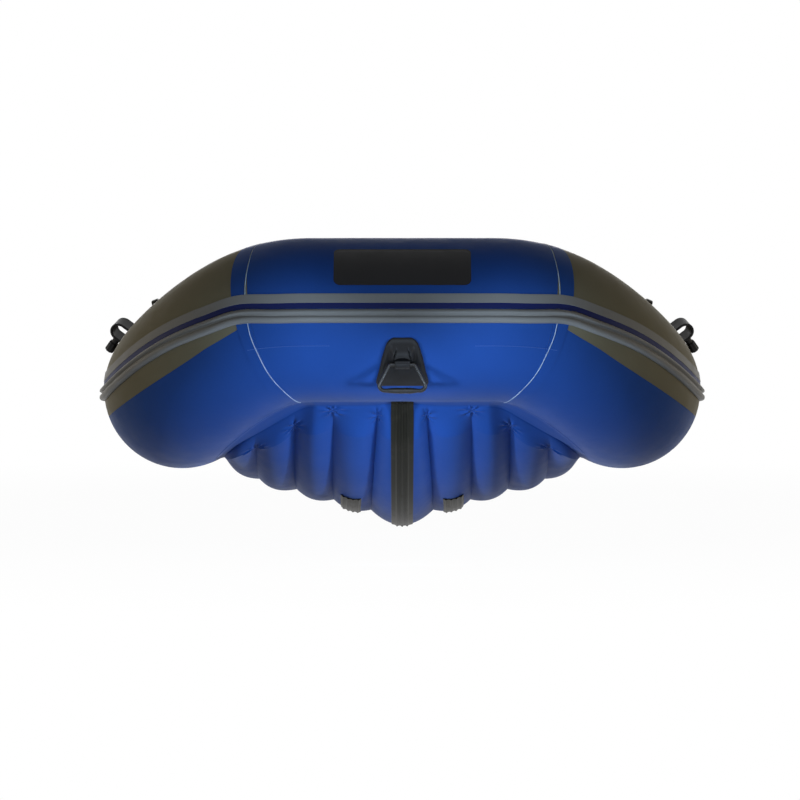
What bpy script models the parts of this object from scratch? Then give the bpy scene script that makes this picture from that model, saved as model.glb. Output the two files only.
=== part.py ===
"""Inflatable boat with a low-pressure V floor, for rowing and a small motor.

Metres, +Z up. The bow faces -Y and +X is the port side. The origin is on the
surface that the keel rests on, at the middle of the boat's length and beam.
Each object is one physical piece. Angles round a tube are in degrees, from the
outboard horizontal (0) over the top (90) to the cockpit side (180).
"""

import math

import bmesh
import bpy
from mathutils import Matrix, Vector

# Hull tube
LENGTH = 3.20
TUBE_R = 0.21
FABRIC = 0.0011
BOW_HALF = 0.231
BOW_BEND_R = 0.282
BOW_BEND = 34.9
CHEEK_R = 0.465
SHEER = 0.192
SHEER_POWER = 1.06
CONE_START = 0.052
CONE_END_R = 0.078
CONE_NOSE = 0.030
EDGE_BOW = 2.2
EDGE_SIDE = -20.2
EDGE_RUN = 0.105
EDGE_INNER = 200.0
BULKHEAD_DISH = 0.060
BULKHEAD_LAND = 0.040

# Strakes round the hull
BAND_TOP = 18.8
BAND_LOW = 12.2
STRIPE_LOW = 8.5
BAND_T = 0.0016
STRIPE_T = 0.0008
RUB_TOP = 8.1
RUB_LOW = -1.7
RUB_PROUD = 0.0130
STRAKE_RISE = 2.9
STRAKE_RISE_AT = 0.335
STRAKE_RISE_W = 0.040
STRAKE_FALL = 6.5
STRAKE_FALL_FROM = 0.44
STRAKE_FALL_TO = 0.78

# Floor
KEEL_DROP = 0.384
KEEL_LOBE_HALF = 0.0866
KEEL_LOBE_SAG = 0.042
LOBE_W = 0.1025
LOBE_SAG = 0.014
EDGE_LOBE_SAG = 0.024
SIDE_LOBES = 3
DEADRISE = 15.7
RAMP_LENGTH = 0.75
RAMP_POWER = 2.2
FLOOR_FABRIC = 0.0010
FLOOR_TOP_DROP = 0.107
FLOOR_TOP_SAG = 0.010
FLOOR_TOP_RAMP = 0.62
UNDER_BOW = -90.0
UNDER_SIDE = -121.6
INSIDE_BOW = -135.0
INSIDE_SIDE = -149.0
WEB_FROM = 0.16
SKIN_GAP = 0.0015

# Keel guard and skids
GUARD_W = 0.058
GUARD_T = 0.0020
GUARD_RIB = 0.0030
GUARD_RIB_AT = 0.012
GUARD_START = -83.0
SKID_T = 0.0020
SKID_RIB = 0.0025
SKID_LENGTH = 0.760

# Transom
TRANSOM_FROM_STERN = 0.520
TRANSOM_T = 0.024
TRANSOM_TOP = 0.165
TRANSOM_HALF_TOP = 0.345
TRANSOM_CORNER = 0.050
TRANSOM_RAKE = 5.0
HOLDER_BASE_W = 0.105
HOLDER_BASE_T = 0.003
HOLDER_WALL_T = 0.005
HOLDER_WALL_H = 0.030
HOLDER_TOP = 165.0
HOLDER_LOW = 202.0
HOLDER_STEPS = 6
BOARD_LOW = 236.0
PAD_HALF = 0.130
PAD_T = 0.004
PAD_AFT = 0.185
PAD_FORWARD = 0.110
PAD_CORNER = 0.018
DRAIN_X = 0.130
DRAIN_UP = 0.045
DRAIN_BORE_R = 0.012
DRAIN_WALL = 0.0045
DRAIN_FLANGE_R = 0.030
DRAIN_FLANGE_T = 0.004
DRAIN_OUT = 0.006
PLUG_R = 0.021
PLUG_T = 0.008
PLUG_SHANK = 0.012
PLUG_BAR = 0.007

# Bow handle
HANDLE_TOP = -11.7
HANDLE_LOW = -50.8
HANDLE_LOW_W = 0.132
HANDLE_T = 0.006
HANDLE_HOOD = 0.010
HANDLE_HOOD_W = 0.030
HANDLE_PIVOT = -29.1
HANDLE_PIVOT_UP = 0.016
HANDLE_HUB_W = 0.036
HANDLE_HUB_R = 0.0105
RING_TOP_W = 0.066
RING_LOW_W = 0.116
RING_LENGTH = 0.066
RING_CORNER = 0.014
RING_BAR_R = 0.0050
RING_GRIP_R = 0.0075
RING_PLAY = 0.0008

# Rowlocks
ROWLOCK_FROM_BOW = 1.22
ROWLOCK_ANGLE = 36.5
ROWLOCK_TURN = 24.0
ROWLOCK_PAD_R = 0.050
ROWLOCK_PAD_T = 0.005
ROWLOCK_BOSS_R = 0.024
ROWLOCK_BOSS_H = 0.014
ROWLOCK_PIN_R = 0.008
YOKE_FOOT_R = 0.030
YOKE_FOOT_T = 0.008
YOKE_HALF_W = 0.026
YOKE_H = 0.066
YOKE_WALL = 0.0075
YOKE_LENGTH = 0.052
YOKE_ARM_R = 0.010
YOKE_ARM = 0.016
YOKE_ARM_X = 0.012
YOKE_ARM_UP = 0.034
KNOB_R = 0.0140
KNOB_LENGTH = 0.031
KNOB_SHANK_R = 0.005
KNOB_SHANK = 0.012

# Carrying grips
GRIP_FROM_BOW = 1.00
GRIP_ANGLE = 67.5
GRIP_LENGTH = 0.190
GRIP_FOOT = 0.038
GRIP_H = 0.050
GRIP_W = 0.028
GRIP_T = 0.005

# Benches and their tracks
TRACK_ANGLE = 125.0
TRACK_START = 1.05
TRACK_END = 2.52
TRACK_BEAD_R = 0.0095
TRACK_BORE_R = 0.0060
TRACK_SLOT = 0.0050
TRACK_WING = 0.026
TRACK_WING_T = 0.0018
SLIDER_BEAD_R = 0.0050
SLIDER_STEM_T = 0.0030
SLIDER_FLANGE_W = 0.046
SLIDER_FLANGE_T = 0.004
SLIDER_UP = 0.0125
SLIDER_LENGTH = 0.160
BENCH_W = 0.200
BENCH_T = 0.012
BENCH_OVERHANG = 0.030
BENCH_CORNER = 0.030
ROWER_BENCH = 1.78
STERN_BENCH = 2.28

# Valves
VALVE_ANGLE = 135.0
SIDE_VALVE_FROM_STERN = 0.615
FLOOR_VALVE_FROM_STERN = 0.700
VALVE_FLANGE_R = 0.0305
VALVE_FLANGE_T = 0.0030
VALVE_RIM_R = 0.0235
VALVE_RIM_H = 0.0060
VALVE_SLEEVE_R = 0.0218
VALVE_DEPTH = 0.010
VALVE_BORE_R = 0.0168
VALVE_SEAT_R = 0.0130
VALVE_SEAT_T = 0.0025
VALVE_BAR_W = 0.0040
VALVE_HUB_R = 0.0048
STEM_R = 0.0026
POPPET_R = 0.0152
POPPET_T = 0.0022
VALVE_ROUND = 16
CAP_R = 0.0260
CAP_SKIRT = 0.0017
CAP_TOP = 0.0120
CAP_RIB = 0.0040
CAP_SPIGOT = 0.0022
CAP_HINGE_X = 0.0300
CAP_HINGE_Z = 0.0042

# Clearances
GAP = 0.0003
TUBE_SEAT = 0.0005
UNDER_SEAT = 0.0010

# Facets of round and swept forms, and the half length of cutters that pass right through
TUBE_STEP = 15.0
ROUND = 24
BEND_STEPS = 4
CHEEK_STEPS = 6
KEEL_STEPS = 6
SKID_STEPS = 4
LOBE_STEPS = 4
THROUGH = 0.06
EDGE_NEAR = {1: 15.0, -1: -45.0}

BLUE = (0.030, 0.115, 0.520)
GREY = (0.300, 0.295, 0.270)
BAND_GREY = (0.340, 0.330, 0.300)
BLACK = (0.025, 0.025, 0.027)
FLOOR_GREY = (0.230, 0.235, 0.240)
PLYWOOD = (0.420, 0.270, 0.140)

PORT = ("port", 1)
STARBOARD = ("starboard", -1)
SIDES = (PORT, STARBOARD)

# Places that follow from the driving dimensions
BEND = math.radians(BOW_BEND)
S_CHEEK = BOW_HALF + BOW_BEND_R * BEND
S_SIDE = S_CHEEK + CHEEK_R * (math.pi / 2 - BEND)
S_SEAM = BOW_HALF + BOW_BEND_R * BEND / 2
SIDE_X = BOW_HALF + BOW_BEND_R * math.sin(BEND) + CHEEK_R * (1 - math.sin(BEND))
SIDE_RUN = BOW_BEND_R * (1 - math.cos(BEND)) + CHEEK_R * math.cos(BEND)
BOW_Y = -LENGTH / 2 + TUBE_R + RUB_PROUD
SIDE_Y = BOW_Y + SIDE_RUN
STERN_Y = LENGTH / 2
TRANSOM_Y = STERN_Y - TRANSOM_FROM_STERN
CONE_Y = TRANSOM_Y + CONE_START
RIB_RISE = KEEL_LOBE_SAG * (GUARD_RIB_AT / KEEL_LOBE_HALF) ** 2
SIDE_Z = KEEL_DROP + FLOOR_FABRIC / 2 + UNDER_SEAT + GUARD_T + GUARD_RIB - RIB_RISE
BOW_Z = SIDE_Z + SHEER
RAKE = math.radians(TRANSOM_RAKE)
FLIP = Matrix.Scale(-1, 4, Vector((1, 0, 0)))

parts = None
cutters = None


def clear_scene():
    """Remove the objects and collections of the startup scene."""
    for obj in list(bpy.data.objects):
        bpy.data.objects.remove(obj, do_unlink=True)
    for collection in list(bpy.data.collections):
        bpy.data.collections.remove(collection)


def add_collection(name, hidden=False):
    """A collection of the scene; a hidden one holds cutters."""
    collection = bpy.data.collections.new(name)
    bpy.context.scene.collection.children.link(collection)
    collection.hide_render = hidden
    return collection


def surface(name, colour, roughness, metallic=0.0):
    """One Principled BSDF material."""
    material = bpy.data.materials.new(name)
    material.use_nodes = True
    shader = material.node_tree.nodes["Principled BSDF"]
    shader.inputs["Base Color"].default_value = (*colour, 1.0)
    shader.inputs["Roughness"].default_value = roughness
    shader.inputs["Metallic"].default_value = metallic
    material.diffuse_color = (*colour, 1.0)
    return material


def add_part(name, data, colour, roughness=0.5, matrix=None, metallic=0.0):
    """Link a mesh or curve as the named piece, with its own material."""
    obj = bpy.data.objects.new(name, data)
    parts.objects.link(obj)
    obj.matrix_world = matrix or Matrix.Identity(4)
    if not data.materials:
        data.materials.append(surface(name, colour, roughness, metallic))
    return obj


def add_cutter(name, mesh, matrix=None):
    """A hidden helper solid for a Boolean."""
    obj = bpy.data.objects.new(name, mesh)
    cutters.objects.link(obj)
    obj.matrix_world = matrix or Matrix.Identity(4)
    obj.hide_render = True
    obj.display_type = "WIRE"
    return obj


def boolean(obj, other, operation="DIFFERENCE"):
    """Boolean modifier with the exact solver."""
    modifier = obj.modifiers.new(operation.title() + " " + other.name, "BOOLEAN")
    modifier.operation = operation
    modifier.solver = "EXACT"
    modifier.object = other


def baked(obj, name):
    """The evaluated shape of an object as a plain mesh in its own space."""
    bpy.context.view_layer.update()
    graph = bpy.context.evaluated_depsgraph_get()
    mesh = bpy.data.meshes.new_from_object(obj.evaluated_get(graph))
    mesh.name = name
    mesh.materials.clear()
    return mesh


def smooth(mesh, angle=35.0):
    """Shade round faces smooth and keep edges over the angle sharp."""
    mesh.shade_smooth()
    mesh.set_sharp_from_angle(angle=math.radians(angle))


def mesh_of(bm, name, angle=35.0):
    """Finish a bmesh as a mesh."""
    mesh = bpy.data.meshes.new(name)
    bm.to_mesh(mesh)
    bm.free()
    smooth(mesh, angle)
    return mesh


def sheet(name, us, vs, point, merge=False):
    """A grid primitive bent so that its vertices lie at point(u, v)."""
    bm = bmesh.new()
    bmesh.ops.create_grid(bm, x_segments=len(us) - 1, y_segments=len(vs) - 1, size=1)
    bm.verts.ensure_lookup_table()
    for index, vert in enumerate(bm.verts):
        vert.co = point(us[index % len(us)], vs[index // len(us)])
    if merge:
        bmesh.ops.remove_doubles(bm, verts=bm.verts, dist=0.00001)
    return mesh_of(bm, name)


def loft(name, rings):
    """A closed solid through sections of unlike shape, with both ends capped."""
    bm = bmesh.new()
    rows = [[bm.verts.new(point) for point in ring] for ring in rings]
    count = len(rows[0])
    for low, high in zip(rows, rows[1:]):
        for i in range(count):
            j = (i + 1) % count
            bm.faces.new((low[i], low[j], high[j], high[i]))
    bm.faces.new(rows[0])
    bm.faces.new(rows[-1])
    bmesh.ops.recalc_face_normals(bm, faces=bm.faces)
    return mesh_of(bm, name)


def thicken(obj, thickness):
    """Give an open sheet its wall, inward from the sheet."""
    modifier = obj.modifiers.new("Wall", "SOLIDIFY")
    modifier.thickness = thickness
    modifier.offset = -1.0
    modifier.use_even_offset = True


def mirror_half(obj):
    """Mirror a half that is open at the centre plane."""
    modifier = obj.modifiers.new("Mirror", "MIRROR")
    modifier.use_clip = True
    modifier.merge_threshold = 0.0001


def cylinder(name, radius, low, high, segments=ROUND, top_radius=None):
    """A cylinder or cone primitive along Z from low to high."""
    bm = bmesh.new()
    bmesh.ops.create_cone(
        bm,
        cap_ends=True,
        segments=segments,
        radius1=radius,
        radius2=radius if top_radius is None else top_radius,
        depth=high - low,
        matrix=Matrix.Translation((0, 0, (low + high) / 2)),
    )
    return mesh_of(bm, name)


def block(name, low, high):
    """A box primitive between two corners."""
    bm = bmesh.new()
    bmesh.ops.create_cube(bm, size=1)
    low, high = Vector(low), Vector(high)
    for vert in bm.verts:
        vert.co = [(0.5 + c) * (b - a) + a for c, a, b in zip(vert.co, low, high)]
    return mesh_of(bm, name)


def turned(name, profile, closed=False, segments=ROUND):
    """A profile of (radius, height) points turned about Z by a Screw modifier."""
    bm = bmesh.new()
    verts = [bm.verts.new((radius, 0, height)) for radius, height in profile]
    pairs = list(zip(verts, verts[1:])) + ([(verts[-1], verts[0])] if closed else [])
    for pair in pairs:
        bm.edges.new(pair)
    mesh = bpy.data.meshes.new(name + " profile")
    bm.to_mesh(mesh)
    bm.free()
    obj = add_cutter(name + " profile", mesh)
    screw = obj.modifiers.new("Screw", "SCREW")
    screw.steps = segments
    screw.render_steps = segments
    screw.use_merge_vertices = True
    screw.merge_threshold = 0.0001
    screw.use_normal_calculate = True
    result = baked(obj, name)
    bpy.data.objects.remove(obj)
    bm = bmesh.new()
    bm.from_mesh(result)
    if all(edge.is_manifold for edge in bm.edges):
        bmesh.ops.recalc_face_normals(bm, faces=bm.faces)
    bm.to_mesh(result)
    bm.free()
    smooth(result)
    return result


def outline_curve(name, outlines, depth):
    """A flat outline, with any holes, as a filled 2D curve of that depth along Z."""
    curve = bpy.data.curves.new(name, "CURVE")
    curve.dimensions = "2D"
    curve.fill_mode = "BOTH"
    curve.extrude = depth / 2
    for outline in outlines:
        spline = curve.splines.new("POLY")
        spline.points.add(len(outline) - 1)
        for point, (x, y) in zip(spline.points, outline):
            point.co = (x, y, 0, 1)
        spline.use_cyclic_u = True
    return curve


def outline_mesh(name, outlines, depth):
    """The filled outline as a welded mesh, for a piece that is cut or joined."""
    obj = add_cutter(name + " outline", outline_curve(name, outlines, depth))
    mesh = baked(obj, name)
    bpy.data.objects.remove(obj)
    bm = bmesh.new()
    bm.from_mesh(mesh)
    bmesh.ops.remove_doubles(bm, verts=bm.verts, dist=0.00001)
    bm.to_mesh(mesh)
    bm.free()
    return mesh


def arc(centre, radius, start, end, steps):
    """Points on a plane arc, angles in degrees."""
    angles = [math.radians(start + (end - start) * i / steps) for i in range(steps + 1)]
    return [
        (centre[0] + radius * math.cos(a), centre[1] + radius * math.sin(a)) for a in angles
    ]


def rounded_box(half_x, half_y, corner, steps=4):
    """A rectangle outline with round corners."""
    x, y = half_x - corner, half_y - corner
    points = []
    for quarter, (cx, cy) in enumerate(((x, y), (-x, y), (-x, -y), (x, -y))):
        points += arc((cx, cy), corner, 90 * quarter, 90 * quarter + 90, steps)
    return points


def mirrored(mesh, name):
    """The mesh reflected to the starboard side."""
    bm = bmesh.new()
    bm.from_mesh(mesh)
    bm.transform(FLIP)
    bmesh.ops.reverse_faces(bm, faces=bm.faces)
    result = bpy.data.meshes.new(name)
    bm.to_mesh(result)
    bm.free()
    return result


def frame_matrix(origin, x_axis, z_axis):
    """A placement whose Z lies along z_axis and whose X lies nearest x_axis."""
    z = Vector(z_axis).normalized()
    y = z.cross(Vector(x_axis)).normalized()
    x = y.cross(z)
    return Matrix.Translation(origin) @ Matrix((x, y, z)).transposed().to_4x4()


def tube_frame(s):
    """(axis point, tangent, outboard, up) of the tube at s, its run from the bow centre."""
    run, side = abs(s), 1 if s >= 0 else -1
    turn = math.radians(BOW_BEND)
    if run <= BOW_HALF:
        heading, x, y = 0.0, run, 0.0
    elif run <= S_CHEEK:
        heading = (run - BOW_HALF) / BOW_BEND_R
        x = BOW_HALF + BOW_BEND_R * math.sin(heading)
        y = BOW_BEND_R * (1 - math.cos(heading))
    else:
        heading = min(turn + (run - S_CHEEK) / CHEEK_R, math.pi / 2)
        x = BOW_HALF + BOW_BEND_R * math.sin(turn)
        x += CHEEK_R * (math.sin(heading) - math.sin(turn))
        y = BOW_BEND_R * (1 - math.cos(turn)) + CHEEK_R * (math.cos(turn) - math.cos(heading))
        y += max(run - S_SIDE, 0.0)
    share = min(max(y / SIDE_RUN, 1e-9), 1.0)
    left = 1 - share**SHEER_POWER
    z = SIDE_Z + SHEER * left * left
    fall = SHEER_POWER * share ** (SHEER_POWER - 1) / SIDE_RUN
    slope = -2 * SHEER * left * fall * math.sin(heading)
    tangent = Vector((math.cos(heading), math.sin(heading), slope)).normalized()
    out = Vector((math.sin(heading), -math.cos(heading), 0))
    up = out.cross(tangent).normalized()
    if up.z < 0:
        up = -up
    point = Vector((x, BOW_Y + y, z))
    if side < 0:
        for vector in (point, out, up):
            vector.x = -vector.x
        tangent = Vector((tangent.x, -tangent.y, -tangent.z))
    return point, tangent, out, up


def on_tube(s, angle, radius=TUBE_R):
    """The point at that angle round the tube's axis."""
    point, _, out, up = tube_frame(s)
    a = math.radians(angle)
    return point + radius * (math.cos(a) * out + math.sin(a) * up)


def knots(start, end):
    """Stations along the tube between two runs, shared by all that follows it."""
    fixed = [0.0, BOW_HALF]
    fixed += [
        BOW_HALF + (S_CHEEK - BOW_HALF) * i / BEND_STEPS for i in range(1, BEND_STEPS + 1)
    ]
    fixed += [S_CHEEK + (S_SIDE - S_CHEEK) * i / CHEEK_STEPS for i in range(1, CHEEK_STEPS + 1)]
    fixed += [-value for value in fixed[1:]]
    inside = sorted(value for value in fixed if start + 0.0004 < value < end - 0.0004)
    return [start, *inside, end]


def panel_angles(edge, far):
    """Angles from the colour edge to a panel's far edge, with whole tube steps on the way."""
    way = 1 if far > edge else -1
    near = EDGE_NEAR[way]
    angles = [edge + (near - edge) * i / 3 for i in range(3)]
    while (far - near) * way > 3:
        angles.append(near)
        near += way * TUBE_STEP
    return angles + [far]


def side_run(y):
    """The run along the tube of a station y on its straight side."""
    return S_SIDE + y - SIDE_Y


def on_side(y, angle, radius=TUBE_R):
    """A point round the port side tube."""
    return on_tube(side_run(y), angle, radius)


def colour_edge(s):
    """Angle of the edge between the upper and lower panels."""
    left = math.exp((S_SEAM - abs(s)) / EDGE_RUN)
    return EDGE_SIDE + (EDGE_BOW - EDGE_SIDE) * left


def strake_turn(s):
    """How far the strakes lie above their angle at the bow, at a run along the tube."""
    run = abs(s)
    rise = STRAKE_RISE * math.exp(-(((run - STRAKE_RISE_AT) / STRAKE_RISE_W) ** 2))
    share = (run - STRAKE_FALL_FROM) / (STRAKE_FALL_TO - STRAKE_FALL_FROM)
    share = min(max(share, 0.0), 1.0)
    return rise - STRAKE_FALL * share * share * (3 - 2 * share)


def side_frame(y, angle, height=0.0):
    """Placement on the port side tube: Z along the tube's normal, X aft."""
    a = math.radians(angle)
    normal = Vector((math.cos(a), 0, math.sin(a)))
    return frame_matrix(on_side(y, angle, TUBE_R + height), (0, 1, 0), normal)


def tube_shell(name, start, end, far, gap):
    """A panel of hull fabric from the colour edge to a far edge angle, port side."""
    count = len(panel_angles(colour_edge(start) + gap, far))

    def point(s, column):
        return on_tube(s, panel_angles(colour_edge(s) + gap, far)[column])

    columns = range(count) if gap > 0 else range(count - 1, -1, -1)
    return sheet(name, knots(start, end), list(columns), point)


def add_pair(name, mesh, colour, roughness, wall=None, matrix=None):
    """The port piece and its mirror image; returns both objects."""
    port = matrix or Matrix.Identity(4)
    pair = []
    for side_name, side in SIDES:
        full = f"{name}_{side_name}"
        data = mesh if side > 0 else mirrored(mesh, full)
        data.name = full
        obj = add_part(full, data, colour, roughness, port if side > 0 else FLIP @ port @ FLIP)
        if wall:
            thicken(obj, wall)
        pair.append(obj)
    return pair


def carved(name, mesh, steps):
    """The mesh after each union or difference with another mesh at a placement."""
    obj = add_cutter(name, mesh)
    others = []
    for index, (operation, shape, matrix) in enumerate(steps):
        other = add_cutter(f"{name} {index}", shape, matrix)
        boolean(obj, other, operation)
        others.append(other)
    result = baked(obj, name)
    for used in [obj, *others]:
        bpy.data.objects.remove(used)
    smooth(result)
    return result


def hang_from(child, parent):
    """Parent a moving piece to its carrier where it stands."""
    child.parent = parent
    child.matrix_parent_inverse = parent.matrix_world.inverted()


def build_tubes():
    """Bow tube, cheek and side panels; returns the bow tube and the upper side panels."""
    full = [i * TUBE_STEP for i in range(int(360 / TUBE_STEP) + 1)]
    mesh = sheet("bow_tube", knots(0, S_SEAM - GAP / 2), full, on_tube, merge=True)
    bow = add_part("bow_tube", mesh, BLUE, 0.35)
    mirror_half(bow)
    thicken(bow, FABRIC)

    half_gap = math.degrees(GAP / TUBE_R) / 2
    lower_start = EDGE_INNER - 360 + half_gap
    spans = (
        ("cheek", S_SEAM + GAP / 2, S_SIDE - GAP / 2),
        ("side", S_SIDE + GAP / 2, side_run(CONE_Y) - GAP / 2),
    )
    panels = {}
    for name, start, end in spans:
        upper = tube_shell(name + "_upper", start, end, EDGE_INNER - half_gap, half_gap)
        lower = tube_shell(name + "_lower", start, end, lower_start, -half_gap)
        panels[name] = add_pair(name + "_panel_upper", upper, GREY, 0.45, FABRIC)
        add_pair(name + "_panel_lower", lower, BLUE, 0.35, FABRIC)
    return bow, panels["side"]


def build_cones():
    """Tapered stern ends with a round nose, turned about the side tubes' axes."""
    length = STERN_Y - CONE_Y - GAP / 2
    taper_end = length - CONE_NOSE
    flat = CONE_END_R - CONE_NOSE
    profile = [(0.0, length)] + [
        (flat + radius, taper_end + height)
        for radius, height in reversed(arc((0, 0), CONE_NOSE, 0, 90, 2))
    ]
    for share in (0.5, 0.0):
        swell = 0.06 * TUBE_R * math.sin(math.pi * share)
        radius = TUBE_R + (CONE_END_R - TUBE_R) * share + swell
        profile.append((radius, taper_end * share))
    mesh = turned("stern_cone", profile)
    for side_name, side in SIDES:
        origin = (side * SIDE_X, CONE_Y + GAP / 2, SIDE_Z)
        matrix = frame_matrix(origin, (1, 0, 0), (0, 1, 0))
        data = mesh.copy()
        data.name = f"stern_cone_{side_name}"
        obj = add_part(data.name, data, BLUE, 0.35, matrix)
        thicken(obj, FABRIC)


def build_bulkheads():
    """Dished diaphragms that part the bow chamber from the side chambers."""
    outer = TUBE_R - 1.01 * FABRIC - GAP
    run = side_run(SIDE_Y + BULKHEAD_LAND + 0.01)
    below = panel_angles(colour_edge(run), EDGE_INNER - 360)
    angles = below[:0:-1] + panel_angles(colour_edge(run), EDGE_INNER)
    crown = (outer * 0.6, BULKHEAD_DISH * math.cos(0.6 * math.pi / 2))
    profile = [(outer, -BULKHEAD_LAND), (outer, 0.0), crown, (0.0, BULKHEAD_DISH)]

    def point(row, angle):
        radius, height = profile[row]
        return on_tube(run + height, angle, radius)

    rows = list(range(len(profile)))
    mesh = sheet("chamber_bulkhead", rows, angles, point, merge=True)
    add_pair("chamber_bulkhead", mesh, GREY, 0.6, FABRIC)


def strake_rings(start, end, outer, base):
    """Sections of a strip that lies on the tube, as (angle, height) points."""
    seat = TUBE_R + TUBE_SEAT
    return [
        [on_tube(s, angle + strake_turn(s), seat + height) for angle, height in outer]
        + [on_tube(s, angle + strake_turn(s), seat) for angle in base]
        for s in knots(start, end)
    ]


def build_strakes():
    """The flat upper band with its dark skirt, and the ribbed rubbing strake."""
    band = [
        (BAND_TOP, BAND_T),
        ((BAND_TOP + BAND_LOW) / 2, BAND_T),
        (BAND_LOW, BAND_T),
        (BAND_LOW, STRIPE_T),
        (STRIPE_LOW, STRIPE_T),
    ]
    band_base = [STRIPE_LOW, BAND_LOW, (BAND_TOP + BAND_LOW) / 2, BAND_TOP]
    span = RUB_TOP - RUB_LOW
    ribs = (
        (1.00, 0.35),
        (0.93, 0.70),
        (0.80, 0.88),
        (0.66, 0.80),
        (0.58, 0.45),
        (0.50, 0.45),
        (0.42, 0.90),
        (0.26, 1.00),
        (0.10, 0.78),
        (0.00, 0.35),
    )
    rub = [(RUB_LOW + span * share, RUB_PROUD * height) for share, height in ribs]
    rub_base = [RUB_LOW, RUB_LOW + span / 2, RUB_TOP]
    stern = side_run(CONE_Y) - GAP
    for name, outer, base, colour in (
        ("upper_band", band, band_base, BAND_GREY),
        ("rub_strake", rub, rub_base, BAND_GREY),
    ):
        rings = strake_rings(-S_CHEEK + GAP / 2, S_CHEEK - GAP / 2, outer, base)
        add_part(f"{name}_bow", loft(name, rings), colour, 0.5)
        rings = strake_rings(S_CHEEK + GAP / 2, stern, outer, base)
        add_pair(name, loft(name, rings), colour, 0.5)


def seat_on_tube(x, bow_angle, side_angle, radius):
    """Where a floor skin meets the tube at that distance from the centre plane."""

    def at(s):
        _, tangent, _, _ = tube_frame(s)
        heading = math.atan2(tangent.y, tangent.x) / (math.pi / 2)
        return on_tube(s, bow_angle + (side_angle - bow_angle) * heading, radius)

    low, high = 0.0, S_SIDE
    if x >= at(high).x:
        return at(high)
    for _ in range(50):
        middle = (low + high) / 2
        if at(middle).x < x:
            low = middle
        else:
            high = middle
    return at((low + high) / 2)


# Places on the tube where the floor's skins meet it, and the floor's rows and columns
UNDER_R = TUBE_R + FLOOR_FABRIC + SKIN_GAP
INSIDE_R = TUBE_R + SKIN_GAP
UNDER_EDGE = on_tube(S_SIDE, UNDER_SIDE, UNDER_R)
VALLEYS = [KEEL_LOBE_HALF + LOBE_W * i for i in range(SIDE_LOBES + 1)]
RAMP = (0.0, 0.07, 0.17, 0.28, 0.40, 0.52, 0.65, 0.82, 1.0)
SKID_START = 0.52
AFT = 2.0


def transom_face(z):
    """Y of the transom's forward face at a height."""
    return TRANSOM_Y + (z - SIDE_Z) * math.tan(RAKE)


def aft_run(z, ramp_end, share):
    """Y of a floor skin's row behind its ramp, which ends at the transom."""
    return ramp_end + (transom_face(z) - SKIN_GAP - ramp_end) * (share - 1)


def ease(share):
    """How far the floor has come down along its forward ramp."""
    return 1 - (1 - min(share, 1.0)) ** RAMP_POWER


def floor_chord(x, share):
    """The bottom skin without its lobes, at a share of the forward ramp."""
    edge = UNDER_EDGE
    front = seat_on_tube(x, UNDER_BOW, UNDER_SIDE, UNDER_R)
    keel_z = SIDE_Z - KEEL_DROP + KEEL_LOBE_SAG
    rise = math.tan(math.radians(DEADRISE))
    depth = keel_z + max(x - VALLEYS[0], 0) * rise
    if x > VALLEYS[-1]:
        outer = keel_z + (VALLEYS[-1] - VALLEYS[0]) * rise
        depth = outer + (edge.z - outer) * (x - VALLEYS[-1]) / (edge.x - VALLEYS[-1])
    ramp_end = BOW_Y + RAMP_LENGTH
    if share > 1:
        return Vector((x, aft_run(depth, ramp_end, share), depth))
    y = front.y + (ramp_end - front.y) * share
    return Vector((x, y, front.z + (depth - front.z) * ease(share)))


def lobe_normal(left, right, share):
    """Outward direction of a lobe of the bottom skin."""
    step = 0.02
    across = floor_chord(right, share) - floor_chord(left, share)
    middle = (left + right) / 2
    low, high = max(share - step, 0), min(share + step, AFT)
    along = floor_chord(middle, high) - floor_chord(middle, low)
    return along.cross(across).normalized()


def floor_bottom(x, share):
    """The bottom skin's outer face, with its lobes, for x on the port side."""
    edge = UNDER_EDGE.x
    bounds = [-VALLEYS[0], *VALLEYS, edge]
    lobe = max(i for i in range(len(bounds) - 1) if x >= bounds[i] - 1e-9)
    left, right = bounds[lobe], bounds[lobe + 1]
    t = (x - left) / (right - left)
    sag = [KEEL_LOBE_SAG] + [LOBE_SAG] * SIDE_LOBES + [EDGE_LOBE_SAG]
    fade = min(1.0, math.sqrt(share / 0.12))
    normal = lobe_normal(max(left, 0.0), right, share)
    if lobe == 0:
        normal.x = 0.0
        normal.normalize()
    point = floor_chord(abs(x), share) + normal * (4 * t * (1 - t) * sag[lobe] * fade)
    if share > 1:
        point.y = aft_run(point.z, BOW_Y + RAMP_LENGTH, share)
    return point


def floor_top(x, share):
    """The top skin's upper face without its lobes."""
    front = seat_on_tube(x, INSIDE_BOW, INSIDE_SIDE, INSIDE_R)
    level = SIDE_Z - FLOOR_TOP_DROP
    ramp_end = BOW_Y + FLOOR_TOP_RAMP
    if share > 1:
        return Vector((x, aft_run(level, ramp_end, share), level))
    y = front.y + (ramp_end - front.y) * share
    return Vector((x, y, front.z + (level - front.z) * ease(share)))


def lobe_columns(bounds, counts):
    """Distances from the centre plane of a skin's columns, port half."""
    half = counts[0] // 2
    columns = [bounds[0] * i / half for i in range(half + 1)]
    for left, right, steps in zip(bounds, bounds[1:], counts[1:]):
        columns += [left + (right - left) * i / steps for i in range(1, steps + 1)]
    return columns


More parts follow.
